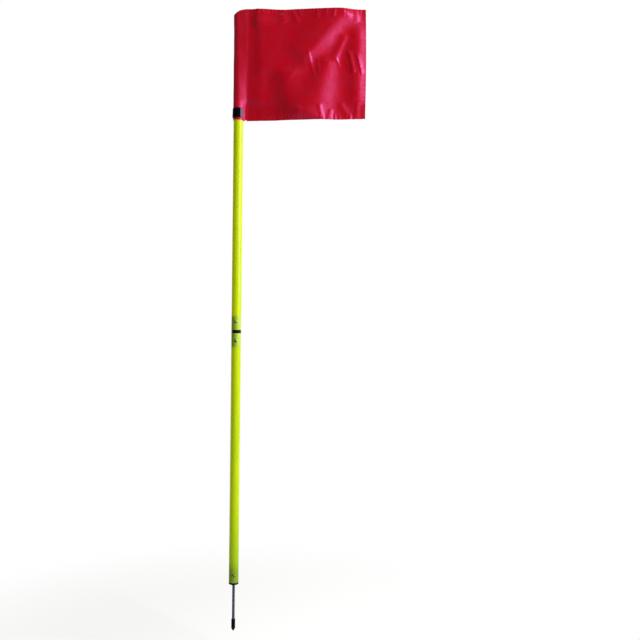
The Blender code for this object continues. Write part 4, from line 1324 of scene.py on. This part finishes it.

# The tubes' painted shades: darker at the plugs and the cap, standing for the black seen through
# the wall, with the -X side darker still as shade from the lamp, and slowly deeper towards the foot
plug_painted_shade = (0.005, (0.17, 0.30, 0.004), (0.58, 0.80, 0.07))
foot_plug_painted_shade = (0.018, (0.19, 0.33, 0.004), (0.30, 0.47, 0.016))
slow_painted_shade = (0.14, (0.40, 0.60, 0.004), (0.37, 0.58, 0.006))
upper_ends = (low("upper_tube").z, high("upper_tube").z)
upper_neon = neon_tube("neon_tube_upper", (0.68, 0.86, 0.002), upper_ends, [
    (upper_ends[0] - SHADE_PAST_END, high("spigot_plug").z, *plug_painted_shade),
    (low("top_cap").z, FLAG_TOP, *plug_painted_shade),
])
lower_ends = (low("lower_tube").z, high("lower_tube").z)
# The lower tube's neon is a little darker and greener than the upper's, as painted shade
lower_neon = neon_tube("neon_tube_lower", (0.63, 0.83, 0.002), lower_ends, [
    (SHADES_BELOW_FOOT, SLOW_PAINTED_SHADE_TOP, *slow_painted_shade),
    (SHADES_BELOW_FOOT, high("foot_plug").z, *foot_plug_painted_shade),
    (low("socket_plug").z, JOINT + SHADE_PAST_END, *plug_painted_shade),
])
plug_black = moulded_black("moulded_plug", (0.005, 0.006, 0.006), 0.42, 0.15, 0.35)
protector_black = moulded_black("protector_rubber", (0.003, 0.003, 0.003), 0.5, 0.12, 0.5)
zinc = plated_steel("zinc_spike", (0.57, 0.62, 0.74), 0.30, (900.0, 900.0, 30.0))
# The rivets' silver is tinted yellow-green: a painted reflection of the neon tube round them
silver_and_painted_reflection = plated_steel("rivet_silver_painted_reflection", (0.80, 0.84, 0.66), 0.30, (1200.0, 1200.0, 1200.0))
pin_steel = plated_steel("pin_steel", (0.50, 0.51, 0.53), 0.32, (1500.0, 1500.0, 1500.0))
panel_nylon = flag_nylon("panel_nylon", 0.34, 1.68)
sleeve_nylon = flag_nylon("sleeve_nylon", 0.47, 1.56)
thread = sewing_thread()

make_tube("lower_tube", "lower_section", lower_neon, ["foot_rivet", "socket_rivet"])
make_tube("upper_tube", "upper_section", upper_neon, ["spigot_rivet"])
make_spigot_plug(plug_black)
make_socket_plug(plug_black)
make_top_cap(plug_black)
make_foot_plug(plug_black)
make_spike(zinc)
make_protector(protector_black)
make_rivet("spigot_rivet", "upper_section", silver_and_painted_reflection, pin_steel)
make_rivet("socket_rivet", "lower_section", silver_and_painted_reflection, pin_steel)
make_rivet("foot_rivet", "lower_section", silver_and_painted_reflection, pin_steel)
make_clip(gloss_clip())

sleeve, sleeve_extras, girth = make_sleeve(sleeve_nylon, thread)
panel, panel_extras = make_panel(panel_nylon, thread)

softbox("key_softbox", azimuth=62.0, distance=2.5, height=1.7, width=1.8, tall=1.7, power=75.0)
make_world()
make_floor()
bpy.context.scene.view_settings.view_transform = "Standard"
